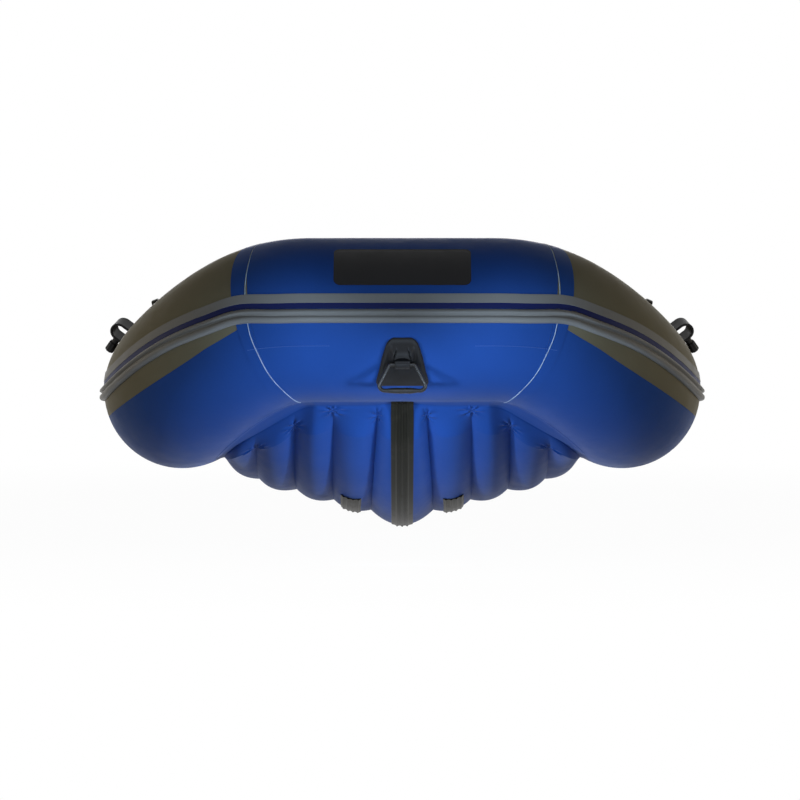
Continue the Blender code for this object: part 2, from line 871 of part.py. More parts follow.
def build_floor():
    """Bottom skin with its webs, and the top skin."""
    edge = UNDER_EDGE.x
    counts = [KEEL_STEPS, SKID_STEPS] + [LOBE_STEPS] * SIDE_LOBES
    columns = lobe_columns([*VALLEYS, edge], counts)
    rows = [*RAMP, AFT]
    bm = bmesh.new()
    skin = sheet("floor_bottom", rows, columns, lambda share, x: floor_bottom(x, share))
    bm.from_mesh(skin)
    for x in VALLEYS:
        web = sheet(
            "web",
            [share for share in rows if share > WEB_FROM],
            [0.0, 1.0],
            lambda share, up, x=x: floor_bottom(x, share).lerp(web_top(x, share), up),
        )
        bm.from_mesh(web)
    bmesh.ops.remove_doubles(bm, verts=bm.verts, dist=0.00001)
    bottom = add_part("floor_bottom_skin", mesh_of(bm, "floor_bottom_skin"), BLUE, 0.35)
    mirror_half(bottom)
    wall = bottom.modifiers.new("Wall", "SOLIDIFY")
    wall.solidify_mode = "NON_MANIFOLD"
    wall.nonmanifold_boundary_mode = "NONE"
    wall.thickness = FLOOR_FABRIC
    wall.offset = 0.0

    bounds = [*VALLEYS[:-1], on_tube(S_SIDE, INSIDE_SIDE, INSIDE_R).x]
    steps = 4
    columns = lobe_columns(bounds, [steps] * len(bounds))
    index = {x: i for i, x in enumerate(columns)}

    def top_point(share, x):
        place = (index[x] + steps // 2) % steps / steps
        lift = 4 * place * (1 - place) * FLOOR_TOP_SAG * min(1.0, math.sqrt(share / 0.2))
        return floor_top(x, share) + Vector((0, 0, lift))

    rows = [0.0, 0.2, 0.4, 0.65, 1.0, AFT]
    top = add_part(
        "floor_top_skin",
        sheet("floor_top_skin", columns, rows, lambda x, share: top_point(share, x)),
        FLOOR_GREY,
        0.6,
    )
    mirror_half(top)
    thicken(top, FLOOR_FABRIC)
    return top


def web_top(x, share):
    """Upper edge of a web, just under the top skin."""
    return floor_top(x, share) - Vector((0, 0, FLOOR_FABRIC + SKIN_GAP))


def floor_normal(x, share):
    """Outward direction of the bottom skin at a point."""
    dx, dv = 0.002, 0.01
    low, high = max(share - dv, 0), min(share + dv, AFT)
    across = floor_bottom(x + dx, share) - floor_bottom(max(x - dx, 0), share)
    along = floor_bottom(x, high) - floor_bottom(x, low)
    normal = along.cross(across)
    if x < dx:
        normal.x = 0
    return normal.normalized()


def under_floor(x, share, height):
    """A point that far below the bottom skin; x may lie to either side."""
    offset = FLOOR_FABRIC / 2 + UNDER_SEAT + height
    point = floor_bottom(abs(x), share) + floor_normal(abs(x), share) * offset
    return Vector((math.copysign(point.x, x) if x else 0.0, point.y, point.z))


def guard_section(half, rib_at, thickness, rib):
    """(distance from the strip's middle, height) of a ribbed strip, top side."""
    return [
        (-half, thickness),
        (-rib_at - 0.005, thickness),
        (-rib_at, thickness + rib),
        (-rib_at + 0.005, thickness),
        (rib_at - 0.005, thickness),
        (rib_at, thickness + rib),
        (rib_at + 0.005, thickness),
        (half, thickness),
    ]


def build_guards():
    """Keel guard from the bow tube to the transom, and a skid on each side lobe."""
    half = KEEL_LOBE_HALF / 3
    section = guard_section(half, GUARD_RIB_AT, GUARD_T, GUARD_RIB)
    base = [(half, 0.0), (0.0, 0.0), (-half, 0.0)]
    rings = []
    for angle, width, lift in ((GUARD_START, 0.8, 0.0), (GUARD_START - 1.5, 1.0, 0.0006)):
        seat = TUBE_R + TUBE_SEAT + lift
        rings.append([on_tube(x * width, angle, seat + up) for x, up in section + base])
    for share in [*RAMP[1:], AFT]:
        rings.append([under_floor(x, share, up) for x, up in section + base])
    add_part("keel_guard", loft("keel_guard", rings), BLACK, 0.55)

    left, right = VALLEYS[0], VALLEYS[1]
    columns = [left + (right - left) * i / SKID_STEPS for i in (1, 2, 3)]
    middle = (columns[0] + columns[-1]) / 2
    half = (columns[-1] - columns[0]) / 2
    section = [
        (middle + x, up) for x, up in guard_section(half, half / 2, SKID_T, SKID_RIB)
    ]
    base = [(x, 0.0) for x in reversed(columns)]
    front = floor_chord(middle, SKID_START).y
    ramp_end = BOW_Y + RAMP_LENGTH
    aft = floor_chord(middle, AFT).y
    last = 1 + (front + SKID_LENGTH - ramp_end) / (aft - ramp_end)
    rings = [
        [under_floor(x, share, up) for x, up in section + base]
        for share in [*(share for share in RAMP if share >= SKID_START), last]
    ]
    add_pair("skid", loft("skid", rings), BLACK, 0.55)


def raked(mesh):
    """Lean a mesh aft with height, as the transom leans."""
    lean = Matrix.Identity(4)
    lean[1][2] = math.tan(RAKE)
    lean[1][3] = -SIDE_Z * math.tan(RAKE)
    mesh.transform(lean)
    return mesh


def holder_angles():
    """Angles round the tube that the transom's edge and its holder share."""
    return [
        HOLDER_TOP + (HOLDER_LOW - HOLDER_TOP) * i / HOLDER_STEPS
        for i in range(HOLDER_STEPS + 1)
    ]


def transom_outline():
    """Half outline of the board, port side, from the top down, as (x, z)."""
    top = SIDE_Z + TRANSOM_TOP
    corner = (TRANSOM_HALF_TOP - TRANSOM_CORNER, top - TRANSOM_CORNER)
    points = list(reversed(arc(corner, TRANSOM_CORNER, 0, 90, 4)))
    rim = TUBE_R + TUBE_SEAT + HOLDER_BASE_T + GAP
    below = [HOLDER_LOW + (BOARD_LOW - HOLDER_LOW) * i / 4 for i in range(1, 5)]
    for angle in [*holder_angles(), *below]:
        a = math.radians(angle)
        points.append((SIDE_X + rim * math.cos(a), SIDE_Z + rim * math.sin(a)))
    edge = UNDER_EDGE.x
    places = [VALLEYS[-1] + (edge - VALLEYS[-1]) * share for share in (0.80, 0.5, 0.2)]
    places += [x + LOBE_W / 2 for x in reversed(VALLEYS[:-1])]
    places += [KEEL_LOBE_HALF * share for share in (0.6, 0.3)]
    for x in places:
        point = floor_bottom(x, AFT)
        points.append((point.x, point.z))
    return points


def build_motor_pad():
    """A moulded saddle over the board's top edge, for the motor's clamps."""
    top = SIDE_Z + TRANSOM_TOP + GAP
    inner = TRANSOM_T / 2 + GAP
    outer = inner + PAD_T
    section = [
        (outer, -PAD_AFT),
        (outer, PAD_T),
        (-outer, PAD_T),
        (-outer, -PAD_FORWARD),
        (-inner, -PAD_FORWARD),
        (-inner, 0.0),
        (inner, 0.0),
        (inner, -PAD_AFT),
    ]
    saddle = outline_mesh("motor_pad", [section], 2 * PAD_HALF)
    saddle.transform(frame_matrix((0, 0, 0), (0, 1, 0), (1, 0, 0)))
    middle = (PAD_T - PAD_AFT) / 2
    face = rounded_box(PAD_HALF, (PAD_T + PAD_AFT) / 2, PAD_CORNER)
    trim = outline_mesh("pad trim", [face], 4 * TRANSOM_T)
    trim.transform(Matrix.Rotation(math.pi / 2, 4, "X"))
    trim.transform(Matrix.Translation((0, 0, middle)))
    pad = carved("motor_pad", saddle, [("INTERSECT", trim, None)])
    pad.transform(Matrix.Translation((0, TRANSOM_Y + TRANSOM_T / 2, top)))
    add_part("motor_pad", raked(pad), BLACK, 0.55)


def build_transom():
    """Board, the two tube-side holders, and the drain with its plug."""
    half = transom_outline()
    keel = floor_bottom(0.0, AFT)
    outline = half + [(0.0, keel.z)] + [(-x, z) for x, z in reversed(half)]
    mesh = outline_mesh("transom_board", [outline], TRANSOM_T)
    mesh.transform(Matrix.Rotation(math.pi / 2, 4, "X"))
    mesh.transform(Matrix.Translation((0, TRANSOM_Y + TRANSOM_T / 2, 0)))
    board = add_part("transom_board", raked(mesh), PLYWOOD, 0.5)

    height = SIDE_Z - FLOOR_TOP_DROP + DRAIN_UP
    normal = Vector((0, -math.cos(RAKE), math.sin(RAKE)))
    drain = frame_matrix((DRAIN_X, transom_face(height), height), (1, 0, 0), normal)
    sleeve = DRAIN_BORE_R + DRAIN_WALL
    cutter = cylinder("drain hole", sleeve + 2 * GAP, -2 * TRANSOM_T, TRANSOM_T)
    boolean(board, add_cutter("drain hole", cutter, drain))

    end = -TRANSOM_T * math.cos(RAKE) - DRAIN_OUT
    profile = [
        (DRAIN_BORE_R, GAP + DRAIN_FLANGE_T),
        (DRAIN_FLANGE_R - 0.001, GAP + DRAIN_FLANGE_T),
        (DRAIN_FLANGE_R, GAP),
        (sleeve, GAP),
        (sleeve, end),
        (DRAIN_BORE_R, end),
    ]
    socket = turned("drain_socket", profile, closed=True, segments=16)
    socket = add_part("drain_socket", socket, BLACK, 0.5, drain)
    seat = 2 * GAP + DRAIN_FLANGE_T
    shank = DRAIN_BORE_R - GAP
    profile = [
        (0.0, seat + PLUG_T),
        (PLUG_R - 0.002, seat + PLUG_T),
        (PLUG_R, seat + PLUG_T - 0.002),
        (PLUG_R, seat),
        (shank, seat),
        (shank, -PLUG_SHANK),
        (0.0, -PLUG_SHANK),
    ]
    bar = block(
        "plug bar",
        (-0.85 * PLUG_R, -0.003, seat + PLUG_T - 0.002),
        (0.85 * PLUG_R, 0.003, seat + PLUG_T + PLUG_BAR),
    )
    disc = turned("drain_plug", profile, segments=16)
    plug = carved("drain_plug", disc, [("UNION", bar, None)])
    hang_from(add_part("drain_plug", plug, BLACK, 0.5, drain), socket)

    slot = TRANSOM_T / 2 + GAP
    wall = slot + HOLDER_WALL_T
    foot = HOLDER_BASE_W / 2
    section = [
        (-foot, 0.0),
        (foot, 0.0),
        (foot, 0.6 * HOLDER_BASE_T),
        (wall, HOLDER_BASE_T),
        (wall - 0.001, HOLDER_WALL_H),
        (slot, HOLDER_WALL_H),
        (slot, HOLDER_BASE_T),
        (-slot, HOLDER_BASE_T),
        (-slot, HOLDER_WALL_H),
        (-wall + 0.001, HOLDER_WALL_H),
        (-wall, HOLDER_BASE_T),
        (-foot, 0.6 * HOLDER_BASE_T),
    ]
    middle = TRANSOM_Y + TRANSOM_T / 2
    rings = [
        [on_side(middle + y, angle, TUBE_R + TUBE_SEAT + up) for y, up in section]
        for angle in holder_angles()
    ]
    add_pair("transom_holder", raked(loft("transom_holder", rings)), BLACK, 0.55)


def build_handle_base(across):
    """Moulded pad on the bow tube with a hooded hub, bored for the ring's bar."""
    seat = TUBE_R + TUBE_SEAT
    low = HANDLE_LOW_W / 2
    hood = HANDLE_HOOD_W / 2
    rows = (
        (0.00, 0.33, 0.0),
        (0.05, 0.52, 0.0),
        (0.16, 0.65, 0.1),
        (0.34, 0.77, 0.7),
        (0.52, 0.84, 1.0),
        (0.70, 0.92, 0.6),
        (0.88, 1.00, 0.0),
        (0.96, 0.97, 0.0),
        (1.00, 0.86, 0.0),
    )
    rings = []
    for share, width, rise in rows:
        angle = HANDLE_TOP + (HANDLE_LOW - HANDLE_TOP) * share
        w = low * width
        top = HANDLE_T + HANDLE_HOOD * rise
        half = [(w, 0.0), (w, 0.6 * HANDLE_T), (w - 0.003, HANDLE_T)]
        half += [(min(hood + 0.005, w - 0.004), HANDLE_T), (min(hood, w - 0.007), top)]
        ring = half + [(-x, up) for x, up in reversed(half)]
        rings.append([on_tube(x, angle, seat + up) for x, up in ring])
    base = add_part("bow_handle_base", loft("bow_handle_base", rings), BLACK, 0.4)
    half = HANDLE_HUB_W / 2
    hub = cylinder("handle hub", HANDLE_HUB_R, -half, half, 16)
    boolean(base, add_cutter("handle hub", hub, across), "UNION")
    bore = cylinder("handle bore", RING_BAR_R + RING_PLAY, -THROUGH, THROUGH, 12)
    boolean(base, add_cutter("handle bore", bore, across))
    return base


def build_bow_handle():
    """The handle's base and its hinged ring, thicker along the grip."""
    pivot = on_tube(0, HANDLE_PIVOT, TUBE_R + HANDLE_PIVOT_UP)
    base = build_handle_base(frame_matrix(pivot, (0, 0, 1), (1, 0, 0)))
    centre = RING_LOW_W / 2 - RING_CORNER
    top_x = RING_TOP_W / 2
    right = [(x, z, 1.0) for x, z in ((HANDLE_HUB_W / 2, 0.0), (top_x - 0.008, 0.0))]
    right += [(top_x - 0.001, -0.002, 1.0), (top_x + 0.004, -0.009, 1.0)]
    right += [
        (x, z, 1.0)
        for x, z in reversed(
            arc((centre, -RING_LENGTH + RING_CORNER), RING_CORNER, -75, 12, 4)
        )
    ]
    right += [(0.6 * centre, -RING_LENGTH, RING_GRIP_R / RING_BAR_R)]
    loop = right + [(-x, z, thick) for x, z, thick in reversed(right)]
    curve = bpy.data.curves.new("bow_handle_ring", "CURVE")
    curve.dimensions = "3D"
    curve.bevel_depth = RING_BAR_R
    curve.bevel_resolution = 2
    spline = curve.splines.new("POLY")
    spline.points.add(len(loop) - 1)
    for point, (x, z, thick) in zip(spline.points, loop):
        point.co = (x, 0, z, 1)
        point.radius = thick
    spline.use_cyclic_u = True
    ring = add_part("bow_handle_ring", curve, BLACK, 0.35, Matrix.Translation(pivot))
    hang_from(ring, base)


def rowlock_base_mesh(station, place):
    """A round pad cut from a sheet that follows the tube, with a bored boss."""
    spread = math.degrees(ROWLOCK_PAD_R / TUBE_R) + 1
    angles = [ROWLOCK_ANGLE + spread * (i / 3 - 1) for i in range(7)]
    low, high = TUBE_R + TUBE_SEAT, TUBE_R + TUBE_SEAT + ROWLOCK_PAD_T
    rings = []
    for y in (station - 0.06, station + 0.06):
        inner = [on_side(y, angle, low) for angle in angles]
        outer = [on_side(y, angle, high) for angle in reversed(angles)]
        rings.append(inner + outer)
    blank = loft("rowlock pad", rings)
    blank.transform(place.inverted())
    disc = cylinder("rowlock disc", ROWLOCK_PAD_R, -0.03, 0.03, ROUND)
    boss = cylinder(
        "rowlock boss", ROWLOCK_BOSS_R + 0.004, 0.002, ROWLOCK_BOSS_H, ROUND, ROWLOCK_BOSS_R
    )
    bore = cylinder("rowlock bore", ROWLOCK_PIN_R + GAP, 0.003, 0.03, 16)
    steps = [("INTERSECT", disc, None), ("UNION", boss, None), ("DIFFERENCE", bore, None)]
    return carved("rowlock_base", blank, steps)


def rowlock_yoke_mesh(sideways, arm_end):
    """An arch on a round foot, with a pivot pin and a side arm for the knob."""
    top = YOKE_H - YOKE_HALF_W
    inner = YOKE_HALF_W - YOKE_WALL
    outline = [(YOKE_HALF_W, 0.0), *arc((0, top), YOKE_HALF_W, 0, 180, 8)]
    outline += [(-YOKE_HALF_W, 0.0)]
    hole = [(inner, YOKE_FOOT_T), *arc((0, top), inner, 0, 180, 8), (-inner, YOKE_FOOT_T)]
    arch = outline_mesh("rowlock_yoke", [outline, hole], YOKE_LENGTH)
    arch.transform(frame_matrix((0, 0, 0), (0, 1, 0), (1, 0, 0)))
    foot = cylinder("yoke foot", YOKE_FOOT_R, 0.0, YOKE_FOOT_T, ROUND)
    pin = cylinder("yoke pin", ROWLOCK_PIN_R, 0.0045 - ROWLOCK_BOSS_H, 0.003, 16)
    arm = cylinder("yoke arm", YOKE_ARM_R, YOKE_HALF_W - 0.004, arm_end, 16)
    socket = cylinder(
        "knob socket", KNOB_SHANK_R + GAP, arm_end - KNOB_SHANK - 0.001, arm_end + 0.01, 12
    )
    steps = [
        ("UNION", foot, None),
        ("UNION", pin, None),
        ("UNION", arm, sideways),
        ("DIFFERENCE", socket, sideways),
    ]
    return carved("rowlock_yoke", arch, steps)


def rowlock_knob_mesh():
    """A fluted grip on a round shank."""
    flutes = []
    for i in range(16):
        radius = KNOB_R if i % 2 else KNOB_R - 0.0015
        turn = 2 * math.pi * i / 16
        flutes.append((radius * math.cos(turn), radius * math.sin(turn)))
    grip = outline_mesh("rowlock_knob", [flutes], KNOB_LENGTH)
    grip.transform(Matrix.Translation((0, 0, KNOB_LENGTH / 2)))
    shank = cylinder("knob shank", KNOB_SHANK_R, -KNOB_SHANK, 0.002, 12)
    return carved("rowlock_knob", grip, [("UNION", shank, None)])


def build_rowlocks():
    """Round pads, swivelling yokes for the oars and their locking knobs."""
    station = -LENGTH / 2 + ROWLOCK_FROM_BOW
    place = side_frame(station, ROWLOCK_ANGLE, TUBE_SEAT)
    add_pair("rowlock_base", rowlock_base_mesh(station, place), BLACK, 0.45, matrix=place)

    arm_end = YOKE_HALF_W + YOKE_ARM
    sideways = frame_matrix((YOKE_ARM_X, 0, YOKE_ARM_UP), (1, 0, 0), (0, 1, 0))
    yoke = rowlock_yoke_mesh(sideways, arm_end)
    yoke_place = side_frame(station, ROWLOCK_ANGLE, TUBE_SEAT + ROWLOCK_BOSS_H + GAP)
    yoke_place = yoke_place @ Matrix.Rotation(math.radians(180 + ROWLOCK_TURN), 4, "Z")
    yokes = add_pair("rowlock_yoke", yoke, BLACK, 0.45, matrix=yoke_place)
    knob_place = yoke_place @ sideways @ Matrix.Translation((0, 0, arm_end + GAP))
    knobs = add_pair("rowlock_knob", rowlock_knob_mesh(), BLACK, 0.45, matrix=knob_place)
    for knob, yoke in zip(knobs, yokes):
        hang_from(knob, yoke)


def build_grips():
    """Arched carrying grips on the top of the side tubes."""
    half = GRIP_LENGTH / 2
    foot = half - GRIP_FOOT
    outer = [
        (half, 0.0),
        (half - 0.002, GRIP_T),
        (foot + 0.004, GRIP_T),
        (foot - 0.008, 0.4 * GRIP_H),
        (foot - 0.016, 0.8 * GRIP_H),
        (foot - 0.028, GRIP_H),
    ]
    inner = [
        (foot - 0.030, GRIP_H - GRIP_T),
        (foot - 0.021, 0.8 * GRIP_H - 0.6 * GRIP_T),
        (foot - 0.013, 0.4 * GRIP_H - 0.6 * GRIP_T),
        (foot - 0.006, 0.0),
    ]
    outline = outer + [(-x, z) for x, z in reversed(outer)]
    outline += [(-x, z) for x, z in reversed(inner)] + inner
    mesh = outline_mesh("carrying_grip", [outline], GRIP_W)
    mesh.transform(Matrix.Rotation(math.pi / 2, 4, "X"))
    flat = TUBE_R * (math.cos(math.radians(TUBE_STEP / 2)) - 1)
    place = side_frame(-LENGTH / 2 + GRIP_FROM_BOW, GRIP_ANGLE, flat + GAP)
    add_pair("carrying_grip", mesh, BLACK, 0.5, matrix=place)


def bead_centre():
    """(x, z) of the seat track's channel on the port side."""
    point = on_side(SIDE_Y, TRACK_ANGLE, TUBE_R + TUBE_SEAT + TRACK_WING_T + TRACK_BORE_R)
    return point.x, point.z


def build_tracks():
    """Slotted channels welded along the side tubes."""
    up = 180 - TRACK_ANGLE
    half_slot = math.degrees(math.asin(TRACK_SLOT / 2 / TRACK_BORE_R))
    outer_slot = math.degrees(math.asin(TRACK_SLOT / 2 / TRACK_BEAD_R))
    height = TRACK_WING_T + TRACK_BORE_R
    spread = math.degrees(TRACK_WING / TUBE_R)
    base = []
    wing = []
    for share in (1.0, 0.5, 0.0, -0.5, -1.0):
        a = math.radians(90 - spread * share)
        base.append((TUBE_R * math.cos(a), TUBE_R * math.sin(a) - TUBE_R))
        rise = TUBE_R + TRACK_WING_T
        wing.append((rise * math.cos(a), rise * math.sin(a) - TUBE_R))
    outline = base
    outline += [wing[4], wing[3]]
    outline += reversed(arc((0, height), TRACK_BEAD_R, up + outer_slot, 205, 6))
    outline += arc((0, height), TRACK_BORE_R, up + half_slot, 360 + up - half_slot, 12)
    outline += reversed(arc((0, height), TRACK_BEAD_R, -25, up - outer_slot, 3))
    outline += [wing[1], wing[0]]
    length = TRACK_END - TRACK_START
    mesh = outline_mesh("seat_track", [outline], length)
    middle = -LENGTH / 2 + (TRACK_START + TRACK_END) / 2
    a = math.radians(TRACK_ANGLE)
    along_tube = Vector((math.sin(a), 0, -math.cos(a)))
    origin = on_side(middle, TRACK_ANGLE, TUBE_R + TUBE_SEAT)
    place = frame_matrix(origin, along_tube, (0, -1, 0))
    add_pair("seat_track", mesh, BLACK, 0.55, matrix=place)


def build_benches():
    """Bench boards and the beaded sliders that carry them in the tracks."""
    x, z = bead_centre()
    stem = SLIDER_STEM_T / 2
    gap = math.degrees(math.asin(stem / SLIDER_BEAD_R))
    flange = SLIDER_FLANGE_W / 2
    outline = arc((0, 0), SLIDER_BEAD_R, 90 + gap, 450 - gap, 10)
    outline += [
        (stem, SLIDER_UP),
        (flange, SLIDER_UP),
        (flange, SLIDER_UP + SLIDER_FLANGE_T),
        (-flange, SLIDER_UP + SLIDER_FLANGE_T),
        (-flange, SLIDER_UP),
        (-stem, SLIDER_UP),
    ]
    seat = z + SLIDER_UP + SLIDER_FLANGE_T + GAP
    for name, from_bow in (("rower", ROWER_BENCH), ("stern", STERN_BENCH)):
        y = -LENGTH / 2 + from_bow
        plate = outline_mesh(
            f"{name}_bench",
            [rounded_box(x + BENCH_OVERHANG, BENCH_W / 2, BENCH_CORNER)],
            BENCH_T,
        )
        place = Matrix.Translation((0, y, seat + BENCH_T / 2))
        bench = add_part(f"{name}_bench", plate, PLYWOOD, 0.5, place)
        slider = outline_mesh(f"{name}_slider", [outline], SLIDER_LENGTH)
        place = frame_matrix((x, y, z), (1, 0, 0), (0, -1, 0))
        for obj in add_pair(f"{name}_slider", slider, BLACK, 0.5, matrix=place):
            hang_from(obj, bench)


def valve_meshes():
    """Body, spring-held poppet and hinged cap of one valve, Z out of the fabric."""
    under = -VALVE_DEPTH
    ledge = VALVE_SEAT_T - VALVE_DEPTH
    profile = [
        (VALVE_BORE_R, VALVE_RIM_H),
        (VALVE_RIM_R, VALVE_RIM_H),
        (VALVE_RIM_R, VALVE_FLANGE_T),
        (VALVE_FLANGE_R, VALVE_FLANGE_T),
        (VALVE_FLANGE_R, 0.0),
        (VALVE_SLEEVE_R, 0.0),
        (VALVE_SLEEVE_R, under),
        (VALVE_SEAT_R, under),
        (VALVE_SEAT_R, ledge),
        (VALVE_BORE_R, ledge),
    ]
    ring = turned("valve_body", profile, closed=True, segments=VALVE_ROUND)
    reach, bar = VALVE_SEAT_R + 0.001, VALVE_BAR_W / 2
    low, high = under + 0.0002, ledge - 0.0002
    bridge = block("valve bridge", (-reach, -bar, low), (reach, bar, high))
    hub = cylinder("valve hub", VALVE_HUB_R, under + 0.0001, ledge + 0.003, 10)
    bore = cylinder("valve bore", STEM_R + GAP, under - 0.01, 0.01, 8)
    steps = [("UNION", bridge, None), ("UNION", hub, None), ("DIFFERENCE", bore, None)]
    body = carved("valve_body", ring, steps)

    face = under - GAP
    stem_top = VALVE_RIM_H - CAP_SPIGOT - 0.001
    profile = [
        (0.0, stem_top),
        (STEM_R, stem_top),
        (STEM_R, face),
        (POPPET_R, face),
        (POPPET_R, face - POPPET_T),
        (0.0, face - POPPET_T),
    ]
    poppet = turned("valve_poppet", profile, segments=VALVE_ROUND)

    skirt = VALVE_FLANGE_T + 2 * GAP
    roof = VALVE_RIM_H + GAP
    profile = [
        (0.0, CAP_TOP),
        (CAP_R - 0.002, CAP_TOP),
        (CAP_R, skirt),
        (CAP_R - CAP_SKIRT, skirt),
        (CAP_R - CAP_SKIRT, roof),
        (VALVE_BORE_R - 0.001, roof),
        (VALVE_BORE_R - 0.001, roof - CAP_SPIGOT),
        (0.0, roof - CAP_SPIGOT),
    ]
    disc = turned("valve_cap", profile, segments=VALVE_ROUND)
    rib = block("cap rib", (-0.018, -0.002, CAP_TOP - 0.001), (0.018, 0.002, CAP_TOP + CAP_RIB))
    tab = block("cap tab", (CAP_R - 0.0015, -0.005, skirt), (CAP_HINGE_X, 0.005, skirt + 0.0025))
    cap = carved("valve_cap", disc, [("UNION", rib, None), ("UNION", tab, None)])
    cap.transform(Matrix.Translation((-CAP_HINGE_X, 0, -CAP_HINGE_Z)))
    return body, poppet, cap


def build_valves(bow, side_panels, floor):
    """A valve in each air chamber, with the hole for it in the fabric."""
    body, poppet, cap = valve_meshes()
    a = math.radians(VALVE_ANGLE)
    bow_normal = Vector((0, -math.cos(a), math.sin(a)))
    bow_point = on_tube(0, VALVE_ANGLE, TUBE_R + TUBE_SEAT)
    side_y = STERN_Y - SIDE_VALVE_FROM_STERN
    port = side_frame(side_y, VALVE_ANGLE, TUBE_SEAT)
    turn = Matrix.Scale(-1, 4, Vector((0, 1, 0)))
    crest = SIDE_Z - FLOOR_TOP_DROP + FLOOR_TOP_SAG + TUBE_SEAT
    floor_point = (0, STERN_Y - FLOOR_VALVE_FROM_STERN, crest)
    places = (
        ("bow", frame_matrix(bow_point, (1, 0, 0), bow_normal), bow),
        ("port", port, side_panels[0]),
        ("starboard", FLIP @ port @ turn, side_panels[1]),
        ("floor", frame_matrix(floor_point, (0, 1, 0), (0, 0, 1)), floor),
    )
    hole = cylinder("valve hole", VALVE_SLEEVE_R + 2 * GAP, -0.03, 0.03, ROUND)
    hinge = Matrix.Translation((CAP_HINGE_X, 0, CAP_HINGE_Z))
    for name, place, skin in places:
        boolean(skin, add_cutter(f"valve hole {name}", hole, place))
        pieces = (("body", body, place), ("poppet", poppet, place), ("cap", cap, place @ hinge))
        made = {}
        for kind, mesh, matrix in pieces:
            data = mesh.copy()
            data.name = f"{name}_valve_{kind}"
            made[kind] = add_part(data.name, data, BLACK, 0.45, matrix)
        hang_from(made["poppet"], made["body"])
        hang_from(made["cap"], made["body"])


def main():
    """Build the boat."""
    global parts, cutters
    clear_scene()
    parts = add_collection("inflatable_boat")
    cutters = add_collection("cutters", hidden=True)
    bow, side_panels = build_tubes()
    build_cones()
    build_bulkheads()
    build_strakes()
    floor = build_floor()
    build_guards()
    build_transom()
    build_motor_pad()
    build_bow_handle()
    build_rowlocks()
    build_grips()
    build_tracks()
    build_benches()
    build_valves(bow, side_panels, floor)


main()
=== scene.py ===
"""Looks of an inflatable boat with a lobed V floor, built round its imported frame.

Metres, +Z up. The bow faces -Y and +X is the port side. Angles round the hull
tube are in degrees, from the outboard horizontal (0) over the top (90) to the
cockpit side (180). Each finished piece is a plain mesh with its place in it.
"""

import logging
import math
from collections.abc import Callable, Iterator, Sequence
from contextlib import contextmanager
from dataclasses import dataclass, field, replace
from enum import Enum

import bmesh
import bpy
from mathutils import Matrix, Vector, noise


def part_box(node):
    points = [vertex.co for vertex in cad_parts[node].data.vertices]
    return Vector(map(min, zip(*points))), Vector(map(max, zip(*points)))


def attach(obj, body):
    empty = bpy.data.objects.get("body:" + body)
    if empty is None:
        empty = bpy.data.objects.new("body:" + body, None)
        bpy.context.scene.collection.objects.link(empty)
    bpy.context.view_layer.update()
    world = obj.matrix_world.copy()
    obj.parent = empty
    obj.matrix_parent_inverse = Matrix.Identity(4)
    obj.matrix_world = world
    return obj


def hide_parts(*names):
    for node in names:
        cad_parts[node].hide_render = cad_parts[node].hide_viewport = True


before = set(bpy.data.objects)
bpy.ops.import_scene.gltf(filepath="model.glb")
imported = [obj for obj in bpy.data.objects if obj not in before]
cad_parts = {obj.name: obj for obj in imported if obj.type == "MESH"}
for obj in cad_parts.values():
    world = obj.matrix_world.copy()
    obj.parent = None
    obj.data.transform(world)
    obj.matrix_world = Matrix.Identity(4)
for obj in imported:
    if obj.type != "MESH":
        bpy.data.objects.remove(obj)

LOG = logging.getLogger("inflatable_boat")
UV_NAME = "Fabric"
FLIP = Matrix.Scale(-1, 4, Vector((1, 0, 0)))
MERGE = 0.000001
SEAT = 0.0005
GAP = 0.0003
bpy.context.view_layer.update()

Colour = tuple[float, float, float]
Place = tuple[float, float, float]
Rows = list[list[Vector]]
Outline = list[tuple[float, float]]
Facing = Callable[[Vector], Vector]
Material = bpy.types.Material
Mesh = bpy.types.Mesh
Socket = bpy.types.NodeSocket


class Side(Enum):
    """The boat's two sides, with the sign of X on each."""

    PORT = 1
    STARBOARD = -1

    @property
    def word(self) -> str:
        """The side's name as the nodes have it."""
        return self.name.lower()


# Node trees


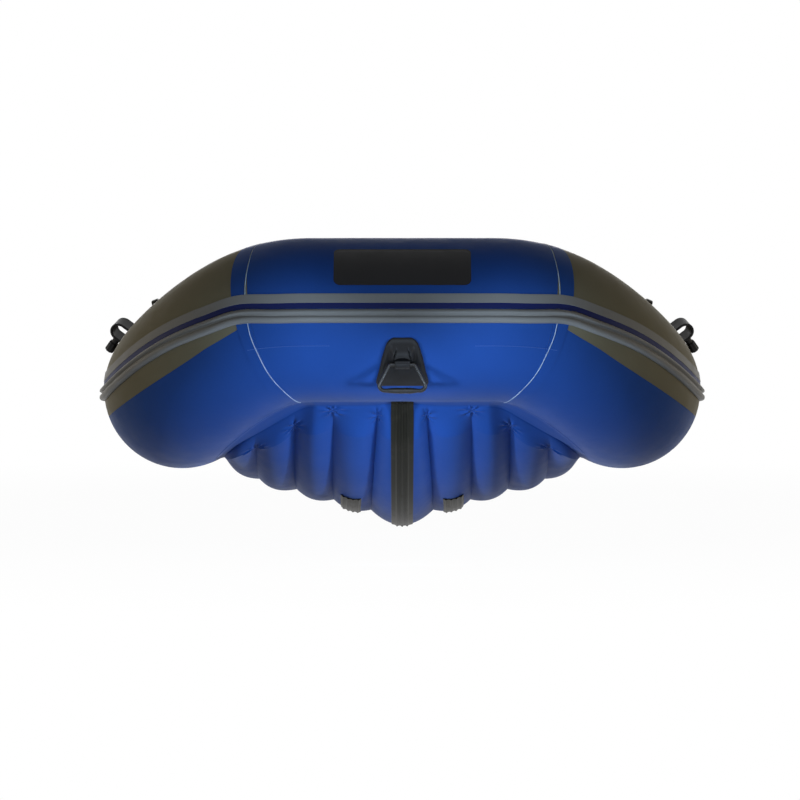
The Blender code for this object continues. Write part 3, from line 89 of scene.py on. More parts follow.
class Graph:
    """Short calls for building a node tree."""

    def __init__(self, tree: bpy.types.NodeTree) -> None:
        """Keep the material's, world's, lamp's or modifier's tree that the calls fill."""
        self.tree = tree

    def add(self, kind: str, inputs: dict | None = None, **settings: object) -> bpy.types.Node:
        """Add a node.

        Args:
            kind: The node's Blender type name.
            inputs: Values or output sockets, by input name or number.
            settings: Attributes of the node, set before its inputs.

        Returns:
            The new node.
        """
        node = self.tree.nodes.new(kind)
        for name, value in settings.items():
            setattr(node, name, value)
        for key, value in (inputs or {}).items():
            if isinstance(value, Socket):
                self.tree.links.new(value, node.inputs[key])
            else:
                node.inputs[key].default_value = value
        return node

    def math(self, operation: str, first: object, second: object = 0.0) -> Socket:
        """The result socket of one Math node."""
        return self.add("ShaderNodeMath", {0: first, 1: second}, operation=operation).outputs[0]

    def blend(self, share: object, low: object, high: object) -> Socket:
        """A colour between two colours, at a share."""
        values = {0: share, 6: low, 7: high}
        return self.add("ShaderNodeMix", values, data_type="RGBA").outputs[2]

    def ramp(
        self, share: Socket, low: float, high: float, bottom: float = 0.0, top: float = 1.0
    ) -> Socket:
        """The share stretched so that low becomes the bottom and high the top."""
        values = {0: share, 1: low, 2: high, 3: bottom, 4: top}
        return self.add("ShaderNodeMapRange", values).outputs[0]

    def noise(self, place: Socket, scale: float, detail: float = 2.0, **more: float) -> Socket:
        """The value of a noise texture at a place."""
        values = {"Vector": place, "Scale": scale, "Detail": detail, **more}
        return self.add("ShaderNodeTexNoise", values).outputs["Fac"]

    def bump(self, height: Socket, strength: float, depth: float, **more: Socket) -> Socket:
        """A normal that follows a height, on top of the one named Normal, if any."""
        values = {"Height": height, "Strength": strength, "Distance": depth, **more}
        return self.add("ShaderNodeBump", values).outputs["Normal"]


def shade(colour: Colour, factor: float) -> tuple[float, float, float, float]:
    """A colour made lighter or darker, with full alpha."""
    return (*(min(channel * factor, 1.0) for channel in colour), 1.0)


def blank_material(name: str, colour: Colour) -> tuple[Material, Graph]:
    """A material with an empty node tree and a viewport colour, and its graph."""
    material = bpy.data.materials.new(name)
    material.use_nodes = True
    material.node_tree.nodes.clear()
    material.diffuse_color = shade(colour, 1.0)
    return material, Graph(material.node_tree)


@dataclass(frozen=True)
class Finish:
    """A procedural finish; each kind of it gives the shader's inputs."""

    name: str
    colour: Colour

    def tone(self, factor: float) -> tuple[float, float, float, float]:
        """The finish's colour, made lighter or darker."""
        return shade(self.colour, factor)

    def inputs(self, graph: Graph, place: Socket) -> dict[str, object]:
        """The shader's inputs.

        Args:
            graph: The material's graph.
            place: The socket with the place on the object.

        Returns:
            Values or output sockets by the name of the shader's input.
        """
        raise NotImplementedError

    def material(self) -> Material:
        """Build the finish's material."""
        material, graph = blank_material(self.name, self.colour)
        place = graph.add("ShaderNodeTexCoord").outputs["Object"]
        shader = graph.add("ShaderNodeBsdfPrincipled", self.inputs(graph, place))
        graph.add("ShaderNodeOutputMaterial", {"Surface": shader.outputs[0]})
        return material


@dataclass(frozen=True)
class CoatedFabric(Finish):
    """PVC-coated fabric: a faint weave, soft unevenness and a satin sheen."""

    roughness: float = 0.42
    specular: float = 0.08
    mottling: float = 0.07
    weave_pitch: float = 0.0012
    weave_depth: float = 0.00002
    dimple_depth: float = 0.00035
    sheen: float = 0.0

    def inputs(self, graph: Graph, place: Socket) -> dict[str, object]:
        """A mottled colour, scuffed gloss, and dimples over the weave."""
        share = graph.ramp(graph.noise(place, 3.5, 3.0), 0.30, 0.70)
        fine = graph.math("SUBTRACT", graph.noise(place, 160.0), 0.5)
        tone = graph.math("ADD", share, graph.math("MULTIPLY", fine, 0.5))
        low, high = self.tone(1 - self.mottling), self.tone(1 + self.mottling)
        scuffs = graph.noise(place, 22.0, 6.0, Roughness=0.65)
        threads = {
            "Vector": place.node.outputs["UV"], "Scale": math.pi / (10 * self.weave_pitch),
            "Distortion": 0.4
        }
        both = [
            graph.add("ShaderNodeTexWave", threads, bands_direction=way).outputs["Fac"]
            for way in ("X", "Y")
        ]
        weave = graph.bump(graph.math("MULTIPLY", *both), 0.5, self.weave_depth)
        rough = self.roughness
        return {
            "Base Color": graph.blend(tone, low, high),
            "Roughness": graph.ramp(scuffs, 0.35, 0.70, rough - 0.04, rough + 0.07),
            "Specular IOR Level": self.specular, "Sheen Weight": self.sheen,
            "Sheen Roughness": 0.45,
            "Normal": graph.bump(graph.noise(place, 26.0), 0.6, self.dimple_depth, Normal=weave)
        }


@dataclass(frozen=True)
class MouldedPlastic(Finish):
    """Moulded or extruded PVC and plastic: grain, rubbed patches, painted shade in recesses."""

    roughness: float = 0.40
    specular: float = 0.15
    grain_scale: float = 900.0
    grain_depth: float = 0.00008
    rubbed: float = 1.6
    # Reach of the painted shade that ambient occlusion lays in recesses; 0 leaves it out.
    groove: float = 0.0

    def inputs(self, graph: Graph, place: Socket) -> dict[str, object]:
        """Rubbed patches, painted shade in recesses where a reach is given, and the grain."""
        worn = graph.ramp(graph.noise(place, 34.0, 7.0, Roughness=0.62), 0.52, 0.78)
        colour = graph.blend(worn, self.tone(0.92), self.tone(self.rubbed))
        # Painted shade: ambient occlusion darkens recesses, such as the grooves between ribs,
        # towards a tenth of the colour.
        if self.groove:
            painted_shade_ao = graph.add("ShaderNodeAmbientOcclusion", {"Distance": self.groove})
            unshaded_share = graph.ramp(painted_shade_ao.outputs["AO"], 0.72, 0.99)
            colour = graph.blend(unshaded_share, self.tone(0.10), colour)
        cells = {"Vector": place, "Scale": self.grain_scale}
        grain = graph.add("ShaderNodeTexVoronoi", cells, feature="SMOOTH_F1")
        return {
            "Base Color": colour,
            "Roughness": graph.ramp(worn, 0.0, 1.0, self.roughness, self.roughness + 0.14),
            "Specular IOR Level": self.specular,
            "Normal": graph.bump(grain.outputs["Distance"], 0.35, self.grain_depth),
        }


@dataclass(frozen=True)
class VarnishedPlywood(Finish):
    """The faces of a varnished plywood board, with figure in the outer veneer."""

    grain: Place = (1.2, 16.0, 16.0)
    roughness: float = 0.34
    coat: float = 0.35

    def inputs(self, graph: Graph, place: Socket) -> dict[str, object]:
        """Bands and open pores drawn out along the veneer, under varnish."""
        drawn = graph.add("ShaderNodeMapping", {"Vector": place, "Scale": self.grain}).outputs[0]
        figure = graph.noise(drawn, 1.6, 5.0, Distortion=1.1)
        bands = graph.ramp(graph.math("SINE", graph.math("MULTIPLY", figure, 46.0)), -1.0, 1.0)
        pores = graph.noise(drawn, 22.0, 3.0)
        veneer = graph.blend(bands, self.tone(0.80), self.tone(1.12))
        return {
            "Base Color": graph.blend(graph.ramp(pores, 0.58, 0.72), veneer, self.tone(0.55)),
            "Roughness": self.roughness, "Specular IOR Level": 0.4, "Coat Weight": self.coat,
            "Coat Roughness": 0.12, "Normal": graph.bump(pores, 0.25, 0.0003)
        }


@dataclass(frozen=True)
class PlywoodEdge(Finish):
    """The cut edge of a plywood board, whose plies show as stripes."""

    across_plies: Place = (0.0, 0.0, 1.0)
    ply: float = 0.0024

    def inputs(self, graph: Graph, place: Socket) -> dict[str, object]:
        """Light and dark plies with dark specks."""
        ways = {0: place, 1: self.across_plies}
        depth = graph.add("ShaderNodeVectorMath", ways, operation="DOT_PRODUCT").outputs["Value"]
        turns = graph.math("MULTIPLY", depth, math.pi / self.ply)
        plies = graph.ramp(graph.math("SINE", turns), -0.25, 0.25)
        striped = graph.blend(plies, self.tone(0.52), self.tone(1.05))
        specks = graph.ramp(graph.noise(place, 260.0), 0.35, 0.75)
        return {
            "Base Color": graph.blend(
                graph.math("MULTIPLY", specks, 0.35), striped, self.tone(0.4)
            ),
            "Roughness": 0.5, "Specular IOR Level": 0.35
        }


@dataclass(frozen=True)
class BrushedSteel(Finish):
    """Plain stainless steel of small fasteners."""

    roughness: float = 0.28

    def inputs(self, graph: Graph, place: Socket) -> dict[str, object]:
        """Fine lines on bare metal."""
        brushed = graph.add("ShaderNodeMapping", {"Vector": place, "Scale": (900, 60, 60)})
        lines = graph.noise(brushed.outputs[0], 4.0)
        return {
            "Base Color": graph.blend(lines, self.tone(0.85), self.tone(1.1)), "Metallic": 1.0,
            "Roughness": self.roughness, "Normal": graph.bump(lines, 0.2, 0.00005)
        }


class Wardrobe:
    """Every finish of the boat, each made once."""

    def __init__(self) -> None:
        """Build the materials."""
        wood = (0.42, 0.27, 0.14)
        blue, grey, deck = (0.020, 0.078, 0.330), (0.215, 0.195, 0.130), (0.120, 0.122, 0.120)
        strip, gloss = (0.024, 0.022, 0.016), (0.010, 0.010, 0.011)
        self.blue = CoatedFabric("blue fabric", blue, 0.46, 0.03, sheen=0.09).material()
        self.grey = CoatedFabric("grey fabric", grey, 0.50, 0.03, sheen=0.08).material()
        self.band = CoatedFabric("grey strip", (0.235, 0.232, 0.222), 0.44, 0.12).material()
        self.navy = CoatedFabric("navy strip", (0.010, 0.016, 0.085), 0.44).material()
        self.glue = CoatedFabric("dried glue", (0.075, 0.160, 0.480), 0.38).material()
        self.white = CoatedFabric("white seam", (0.420, 0.520, 0.640), 0.40).material()
        self.deck = CoatedFabric(
            "deck fabric", deck, 0.60, weave_pitch=0.0030, weave_depth=0.0002
        ).material()
        self.inner = CoatedFabric("bulkhead fabric", (0.150, 0.152, 0.150), 0.6).material()
        self.patch = CoatedFabric("plain patch", (0.012, 0.012, 0.013), 0.50, 0.12).material()
        # The black strip gets painted shade from ambient occlusion in its grooves, reaching 14 mm.
        self.rubber = MouldedPlastic("black strip", strip, 0.40, 0.06, groove=0.014).material()
        self.plastic = MouldedPlastic("black plastic", (0.013, 0.013, 0.014), 0.42).material()
        self.gloss = MouldedPlastic("glossy plastic", gloss, 0.24, 0.28, rubbed=1.2).material()
        self.veneer = VarnishedPlywood("varnished veneer", wood).material()
        self.bench_edge = PlywoodEdge("bench edge", wood, (0.0, 0.0, 1.0), 0.0017).material()
        self.board_edge = PlywoodEdge("board edge", wood, (0.0, 1.0, -0.0875)).material()
        self.steel = BrushedSteel("stainless steel", (0.56, 0.56, 0.55)).material()


# Meshes


def spans(points: Sequence[Vector], wrap: bool) -> list[float]:
    """Distances along a row of points from its first point."""
    total, result = 0.0, [0.0]
    ends = list(points) + ([points[0]] if wrap else [])
    for a, b in zip(ends, ends[1:]):
        total += (b - a).length
        result.append(total)
    return result


def skin(name: str, rows: Rows, facing: Facing, wrap: bool = False) -> Mesh:
    """An open sheet through rows of points, with a UV map in metres.

    Args:
        name: The mesh's name.
        rows: Rows of points, all of one length.
        facing: Gives the outward direction near a point.
        wrap: Whether each row closes on itself.

    Returns:
        The sheet, facing outwards.
    """
    count = len(rows[0])
    last = count if wrap else count - 1
    verts = [point for row in rows for point in row]
    corners = [
        ((r, c), (r, c + 1), (r + 1, c + 1), (r + 1, c))
        for r in range(len(rows) - 1)
        for c in range(last)
    ]
    middle = corners[len(corners) // 2 + last // 3]
    a, b, d = (verts[r * count + c % count] for r, c in (middle[0], middle[1], middle[3]))
    if (b - a).cross(d - a).dot(facing(a)) < 0:
        corners = [tuple(reversed(face)) for face in corners]
    mesh = bpy.data.meshes.new(name)
    mesh.from_pydata(verts, [], [[r * count + c % count for r, c in face] for face in corners])
    across = spans(rows[len(rows) // 2], wrap)
    along = spans([row[count // 2] for row in rows], False)
    layer = mesh.uv_layers.new(name=UV_NAME)
    flat = [place for face in corners for place in face]
    for loop, (r, c) in zip(layer.data, flat):
        loop.uv = (across[c], along[r])
    return mesh


@contextmanager
def editing(mesh: Mesh) -> Iterator[bmesh.types.BMesh]:
    """Open a mesh for edits, which are written back when the block ends."""
    bm = bmesh.new()
    bm.from_mesh(mesh)
    yield bm
    bm.to_mesh(mesh)
    bm.free()


def close_up(bm: bmesh.types.BMesh) -> None:
    """Merge doubled points and turn the faces outwards."""
    bmesh.ops.remove_doubles(bm, verts=bm.verts, dist=MERGE)
    bmesh.ops.recalc_face_normals(bm, faces=bm.faces)


def loft(name: str, rings: Rows, loop: bool = False) -> Mesh:
    """A closed solid through rings of points.

    Args:
        name: The mesh's name.
        rings: Rings of points, all of one length.
        loop: Whether the last ring joins the first; otherwise both ends are capped.

    Returns:
        The solid, with its faces outwards.
    """
    mesh = bpy.data.meshes.new(name)
    with editing(mesh) as bm:
        rows = [[bm.verts.new(point) for point in ring] for ring in rings]
        count = len(rows[0])
        pairs = list(zip(rows, rows[1:])) + ([(rows[-1], rows[0])] if loop else [])
        for low, high in pairs:
            for i in range(count):
                j = (i + 1) % count
                bm.faces.new((low[i], low[j], high[j], high[i]))
        if not loop:
            bm.faces.new(rows[0])
            bm.faces.new(rows[-1])
        close_up(bm)
    return mesh


def turns(count: int) -> list[float]:
    """Even angles round a full turn, from 0."""
    return [2 * math.pi * i / count for i in range(count)]


def polar(radius: float, turn: float, height: float) -> Vector:
    """The point at a radius, an angle about Z and a height."""
    return Vector((radius * math.cos(turn), radius * math.sin(turn), height))


def turned(name: str, profile: Outline, segments: int = 64, loop: bool = False) -> Mesh:
    """A profile of (radius, height) points turned about Z.

    Args:
        name: The mesh's name.
        profile: The points; one at radius 0 becomes a pole.
        segments: Steps round the axis.
        loop: Whether the profile closes on itself, as a ring's does.

    Returns:
        The turned solid, with its faces outwards.
    """
    return loft(name, [[polar(r, t, z) for t in turns(segments)] for r, z in profile], loop)


def prism(name: str, outline: Outline, depth: float) -> Mesh:
    """A flat outline pulled along Z to both sides, its two faces first."""
    rings = [[Vector((x, y, z)) for x, y in outline] for z in (-depth / 2, depth / 2)]
    return loft(name, rings)


def arc(
    centre: tuple[float, float], radius: float, start: float, end: float, steps: int
) -> Outline:
    """Points on a plane arc, with its angles in degrees."""
    angles = [math.radians(start + (end - start) * i / steps) for i in range(steps + 1)]
    return [(centre[0] + radius * math.cos(a), centre[1] + radius * math.sin(a)) for a in angles]


def rounded_box(half_x: float, half_y: float, corner: float, steps: int = 8) -> Outline:
    """A rectangle's outline with round corners."""
    x, y = half_x - corner, half_y - corner
    points: Outline = []
    for quarter, centre in enumerate(((x, y), (-x, y), (-x, -y), (x, -y))):
        points += arc(centre, corner, 90 * quarter, 90 * quarter + 90, steps)
    return points


def through(points: Outline, place: float) -> float:
    """The height at a place of a smooth curve through (place, height) points."""
    places = [p for p, _ in points]
    index = max(i for i in range(len(points) - 1) if place >= places[i] or i == 0)
    before, after = max(index - 1, 0), min(index + 2, len(points) - 1)
    p0, p1, p2, p3 = (points[i][1] for i in (before, index, index + 1, after))
    t = (place - places[index]) / (places[index + 1] - places[index])
    t = min(max(t, 0.0), 1.0)
    bend = 2 * p0 - 5 * p1 + 4 * p2 - p3
    twist = 3 * p1 - p0 - 3 * p2 + p3
    return 0.5 * (2 * p1 + (p2 - p0) * t + bend * t * t + twist * t**3)


def step(value: float, low: float, high: float) -> float:
    """A smooth rise from 0 at low to 1 at high."""
    t = min(max((value - low) / (high - low), 0.0), 1.0)
    return t * t * (3 - 2 * t)


def rod(
    name: str, points: Sequence[Vector], radii: Sequence[float], sides: int = 16, loop: bool = False
) -> Mesh:
    """A round bar along a path in one plane or near it.

    Args:
        name: The mesh's name.
        points: The bar's centre line.
        radii: Its radius at each point.
        sides: Faces round the bar.
        loop: Whether the bar closes on itself.

    Returns:
        The bar as a closed solid.
    """
    count = len(points)
    normal = Vector((0, 1, 0))
    rings = []
    for i, point in enumerate(points):
        before = points[(i - 1) % count] if loop else points[max(i - 1, 0)]
        after = points[(i + 1) % count] if loop else points[min(i + 1, count - 1)]
        tangent = (after - before).normalized()
        across = tangent.cross(normal).normalized()
        up = across.cross(tangent)
        reaches = [math.cos(t) * across + math.sin(t) * up for t in turns(sides)]
        rings.append([point + radii[i] * reach for reach in reaches])
    return loft(name, rings, loop)


def joined(name: str, meshes: Sequence[Mesh]) -> Mesh:
    """Several meshes of one piece as one mesh."""
    result = bpy.data.meshes.new(name)
    with editing(result) as bm:
        for mesh in meshes:
            bm.from_mesh(mesh)
    return result


def placed(mesh: Mesh, matrix: Matrix) -> Mesh:
    """The same mesh, moved by a matrix without mirroring."""
    mesh.transform(matrix)
    return mesh


def moved(mesh: Mesh, x: float, y: float, z: float) -> Mesh:
    """The same mesh, shifted."""
    return placed(mesh, Matrix.Translation((x, y, z)))


def mirrored(mesh: Mesh, name: str) -> Mesh:
    """A copy of the mesh for the other side of the boat, facing outwards."""
    result = bpy.data.meshes.new(name)
    with editing(result) as bm:
        bm.from_mesh(mesh)
        bm.transform(FLIP)
        bmesh.ops.reverse_faces(bm, faces=bm.faces)
    for material in mesh.materials:
        result.materials.append(material)
    return result


def edged(mesh: Mesh, veneer: Material, edge: Material, axis: int, least: float) -> Mesh:
    """Give a board's faces the veneer, and its edges the plies.

    Args:
        mesh: The board.
        veneer: The material of its two faces.
        edge: The material of its edges.
        axis: The axis that its two faces look along.
        least: How far a face's normal lies along that axis.

    Returns:
        The same board.
    """
    for material in (veneer, edge):
        mesh.materials.append(material)
    for face in mesh.polygons:
        face.material_index = 0 if abs(face.normal[axis]) > least else 1
    return mesh


def frame_matrix(origin: Vector, x_axis: Vector, z_axis: Vector) -> Matrix:
    """A placement whose Z lies along z_axis and whose X lies nearest x_axis."""
    z = Vector(z_axis).normalized()
    y = z.cross(Vector(x_axis)).normalized()
    x = y.cross(z)
    return Matrix.Translation(origin) @ Matrix((x, y, z)).transposed().to_4x4()


# Objects


def new_object(name: str, data: bpy.types.ID) -> bpy.types.Object:
    """Link a mesh, a lamp or a camera to the scene as an object."""
    obj = bpy.data.objects.new(name, data)
    bpy.context.scene.collection.objects.link(obj)
    return obj


def settle(obj: bpy.types.Object, sharp: float = 32.0) -> None:
    """Turn an object's modifiers into plain mesh, and shade it smooth but for sharp edges."""
    bpy.context.view_layer.update()
    graph = bpy.context.evaluated_depsgraph_get()
    mesh = bpy.data.meshes.new_from_object(obj.evaluated_get(graph))
    obj.modifiers.clear()
    obj.data = mesh
    mesh.name = obj.name
    mesh.shade_smooth()
    mesh.set_sharp_from_angle(angle=math.radians(sharp))


def modify(obj: bpy.types.Object, name: str, kind: str, **settings: object) -> None:
    """Add a modifier with its settings."""
    modifier = obj.modifiers.new(name, kind)
    for key, value in settings.items():
        setattr(modifier, key, value)


@dataclass(frozen=True)
class Outfit:
    """What a piece is dressed in, what carries it, and how it is finished.

    A wall is a sheet's thickness, inwards; rounding is the width of its rounded
    edges; sharp is the angle over which an edge stays sharp.
    """

    material: Material
    slot: str
    body: str = "hull"
    replaces: tuple[str, ...] = ()
    wall: float = 0.0
    rounding: float = 0.0
    sharp: float = 32.0


@dataclass
class Workshop:
    """Adds finished pieces to the scene and counts them."""

    wardrobe: Wardrobe
    count: int = 0

    def add(self, name: str, mesh: Mesh, outfit: Outfit) -> None:
        """Finish one piece and let it ride on its body.

        Args:
            name: The piece's name.
            mesh: Its shape, in place.
            outfit: Its finish, body and the nodes that it stands for; its slot is not applied here.
        """
        obj = new_object(name, mesh)
        if not mesh.materials:
            mesh.materials.append(outfit.material)
        if outfit.wall:
            depth = {"thickness": outfit.wall, "offset": -1.0, "thickness_clamp": 1.5}
            modify(obj, "Wall", "SOLIDIFY", use_even_offset=True, **depth)
        if outfit.rounding:
            limit = {"limit_method": "ANGLE", "angle_limit": math.radians(38)}
            modify(obj, "Rounding", "BEVEL", width=outfit.rounding, segments=3, **limit)
        settle(obj, outfit.sharp)
        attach(obj, outfit.body)
        if outfit.replaces:
            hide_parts(*outfit.replaces)
        self.count += 1
        LOG.info("%s: %d faces on %s", obj.name, len(obj.data.polygons), outfit.body)

    def pair(self, name: str, mesh: Mesh, outfit: Outfit) -> None:
        """Add a port piece and its mirror image.

        Args:
            name: The pieces' name without the side.
            mesh: The port piece's shape.
            outfit: Its outfit, where {side} stands for the side's name.
        """
        starboard = mirrored(mesh, f"{name}_starboard")
        for side, shape in ((Side.PORT, mesh), (Side.STARBOARD, starboard)):
            body = outfit.body.format(side=side.word)
            nodes = tuple(node.format(side=side.word) for node in outfit.replaces)
            own = replace(outfit, body=body, replaces=nodes)
            self.add(f"{name}_{side.word}", shape, own)


# Geometry node trees


class ModifierTree:
    """A geometry node tree with named inputs, which dresses what it makes."""

    def __init__(self, name: str, inputs: dict[str, str]) -> None:
        """Make the tree and its sockets.

        Args:
            name: The tree's name.
            inputs: Socket types by input name, besides the geometry and the material.
        """
        tree = bpy.data.node_groups.new(name, "GeometryNodeTree")
        face = tree.interface
        face.new_socket("Geometry", in_out="INPUT", socket_type="NodeSocketGeometry")
        kinds = {**inputs, "Material": "NodeSocketMaterial"}
        self.keys = {
            key: face.new_socket(key, in_out="INPUT", socket_type=kind).identifier
            for key, kind in kinds.items()
        }
        face.new_socket("Geometry", in_out="OUTPUT", socket_type="NodeSocketGeometry")
        self.graph = Graph(tree)
        self.start = self.graph.add("NodeGroupInput").outputs

    def layer(self, name: str) -> Socket:
        """The vector attribute of that name."""
        kind = "GeometryNodeInputNamedAttribute"
        return self.graph.add(kind, {"Name": name}, data_type="FLOAT_VECTOR").outputs["Attribute"]

    def finish(self, shape: Socket) -> None:
        """End the tree in Realize Instances and Set Material."""
        real = self.graph.add("GeometryNodeRealizeInstances", {0: shape})
        dress = {0: real.outputs[0], "Material": self.start["Material"]}
        dressed = self.graph.add("GeometryNodeSetMaterial", dress)
        self.graph.add("NodeGroupOutput", {0: dressed.outputs[0]})

    def grown(
        self, helper: Mesh, layers: dict[str, list[Vector]], values: dict[str, object]
    ) -> Mesh:
        """Run the tree on a helper mesh.

        Args:
            helper: The mesh that the tree starts from.
            layers: A vector for each of its points, by attribute name.
            values: The tree's inputs by name; objects among them are helpers too.

        Returns:
            The mesh that comes out, with the helpers removed.
        """
        for key, vectors in layers.items():
            layer = helper.attributes.new(key, "FLOAT_VECTOR", "POINT")
            for entry, vector in zip(layer.data, vectors):
                entry.vector = vector
        carrier = new_object(helper.name, helper)
        modifier = carrier.modifiers.new("Tree", "NODES")
        modifier.node_group = self.graph.tree
        for key, value in values.items():
            modifier[self.keys[key]] = value
        settle(carrier)
        mesh = carrier.data
        for obj in (carrier, *values.values()):
            if isinstance(obj, bpy.types.Object):
                bpy.data.objects.remove(obj)
        return mesh


class SweepTree(ModifierTree):
    """Sweeps a closed section along a path, turned to the path's outward side."""

    def __init__(self) -> None:
        """Build the tree."""
        super().__init__("Sweep section", {"Section": "NodeSocketObject"})
        graph, start = self.graph, self.start
        line = graph.add("GeometryNodeMeshToCurve", {0: start["Geometry"]})
        upright = {"Curve": line.outputs[0], "Normal": self.layer("outward")}
        path = graph.add("GeometryNodeSetCurveNormal", upright, mode="FREE")
        info = graph.add("GeometryNodeObjectInfo", {"Object": start["Section"]})
        profile = graph.add("GeometryNodeMeshToCurve", {0: info.outputs["Geometry"]})
        both = {"Curve": path.outputs[0], "Profile Curve": profile.outputs[0], "Fill Caps": True}
        self.finish(graph.add("GeometryNodeCurveToMesh", both).outputs[0])

    def run(
        self, name: str, path: Sequence[tuple[Vector, Vector]], section: Outline, material: Material
    ) -> Mesh:
        """Sweep one strip.

        Args:
            name: The strip's name.
            path: Points of the path, each with its outward direction.
            section: The strip's outline as (height, way along) points, in turn.
            material: The strip's material.

        Returns:
            The strip as a closed mesh.
        """
        outline = bpy.data.meshes.new(name + " section")
        count = len(section)
        edges = [(i, (i + 1) % count) for i in range(count)]
        outline.from_pydata([(x, y, 0.0) for x, y in section], edges, [])
        line = bpy.data.meshes.new(name + " path")
        points, ways = zip(*path)
        line.from_pydata(points, [(i, i + 1) for i in range(len(path) - 1)], [])
        values = {"Section": new_object(outline.name, outline), "Material": material}
        mesh = self.grown(line, {"outward": ways}, values)
        with editing(mesh) as bm:
            close_up(bm)
        return mesh


class ScatterTree(ModifierTree):
    """Puts a copy of a small piece on each point, standing along its normal."""

    def __init__(self) -> None:
        """Build the tree."""
        super().__init__("Set in a row", {"Piece": "NodeSocketObject", "Size": "NodeSocketFloat"})
        graph, start = self.graph, self.start
        points = graph.add("GeometryNodeMeshToPoints", {0: start["Geometry"]})
        standing = graph.add(
            "FunctionNodeAxesToRotation",
            {"Primary Axis": self.layer("outward"), "Secondary Axis": self.layer("along")},
            primary_axis="Z", secondary_axis="X"
        )
        info = graph.add("GeometryNodeObjectInfo", {"Object": start["Piece"]})
        copies = {
            "Points": points.outputs[0], "Instance": info.outputs["Geometry"],
            "Rotation": standing.outputs[0], "Scale": start["Size"]
        }
        self.finish(graph.add("GeometryNodeInstanceOnPoints", copies).outputs[0])

    def run(
        self, name: str, points: Sequence[tuple[Vector, Vector, Vector]], piece: Mesh,
        material: Material, size: float = 1.0
    ) -> Mesh:
        """Set the copies.

        Args:
            name: The group's name.
            points: Each copy's foot, its outward direction and its way along.
            piece: The small piece, standing on its origin along Z.
            material: The copies' material.
            size: A factor on the piece.

        Returns:
            The copies as one mesh.
        """
        feet, outward, along = zip(*points)
        mesh = bpy.data.meshes.new(name + " points")
        mesh.from_pydata(feet, [], [])
        values = {"Piece": new_object(name + " master", piece), "Size": size, "Material": material}
        return self.grown(mesh, {"outward": outward, "along": along}, values)


# The hull's centre line


@dataclass(frozen=True)
class Station:
    """A place on the tube's axis with its directions."""

    point: Vector
    tangent: Vector
    out: Vector
    up: Vector


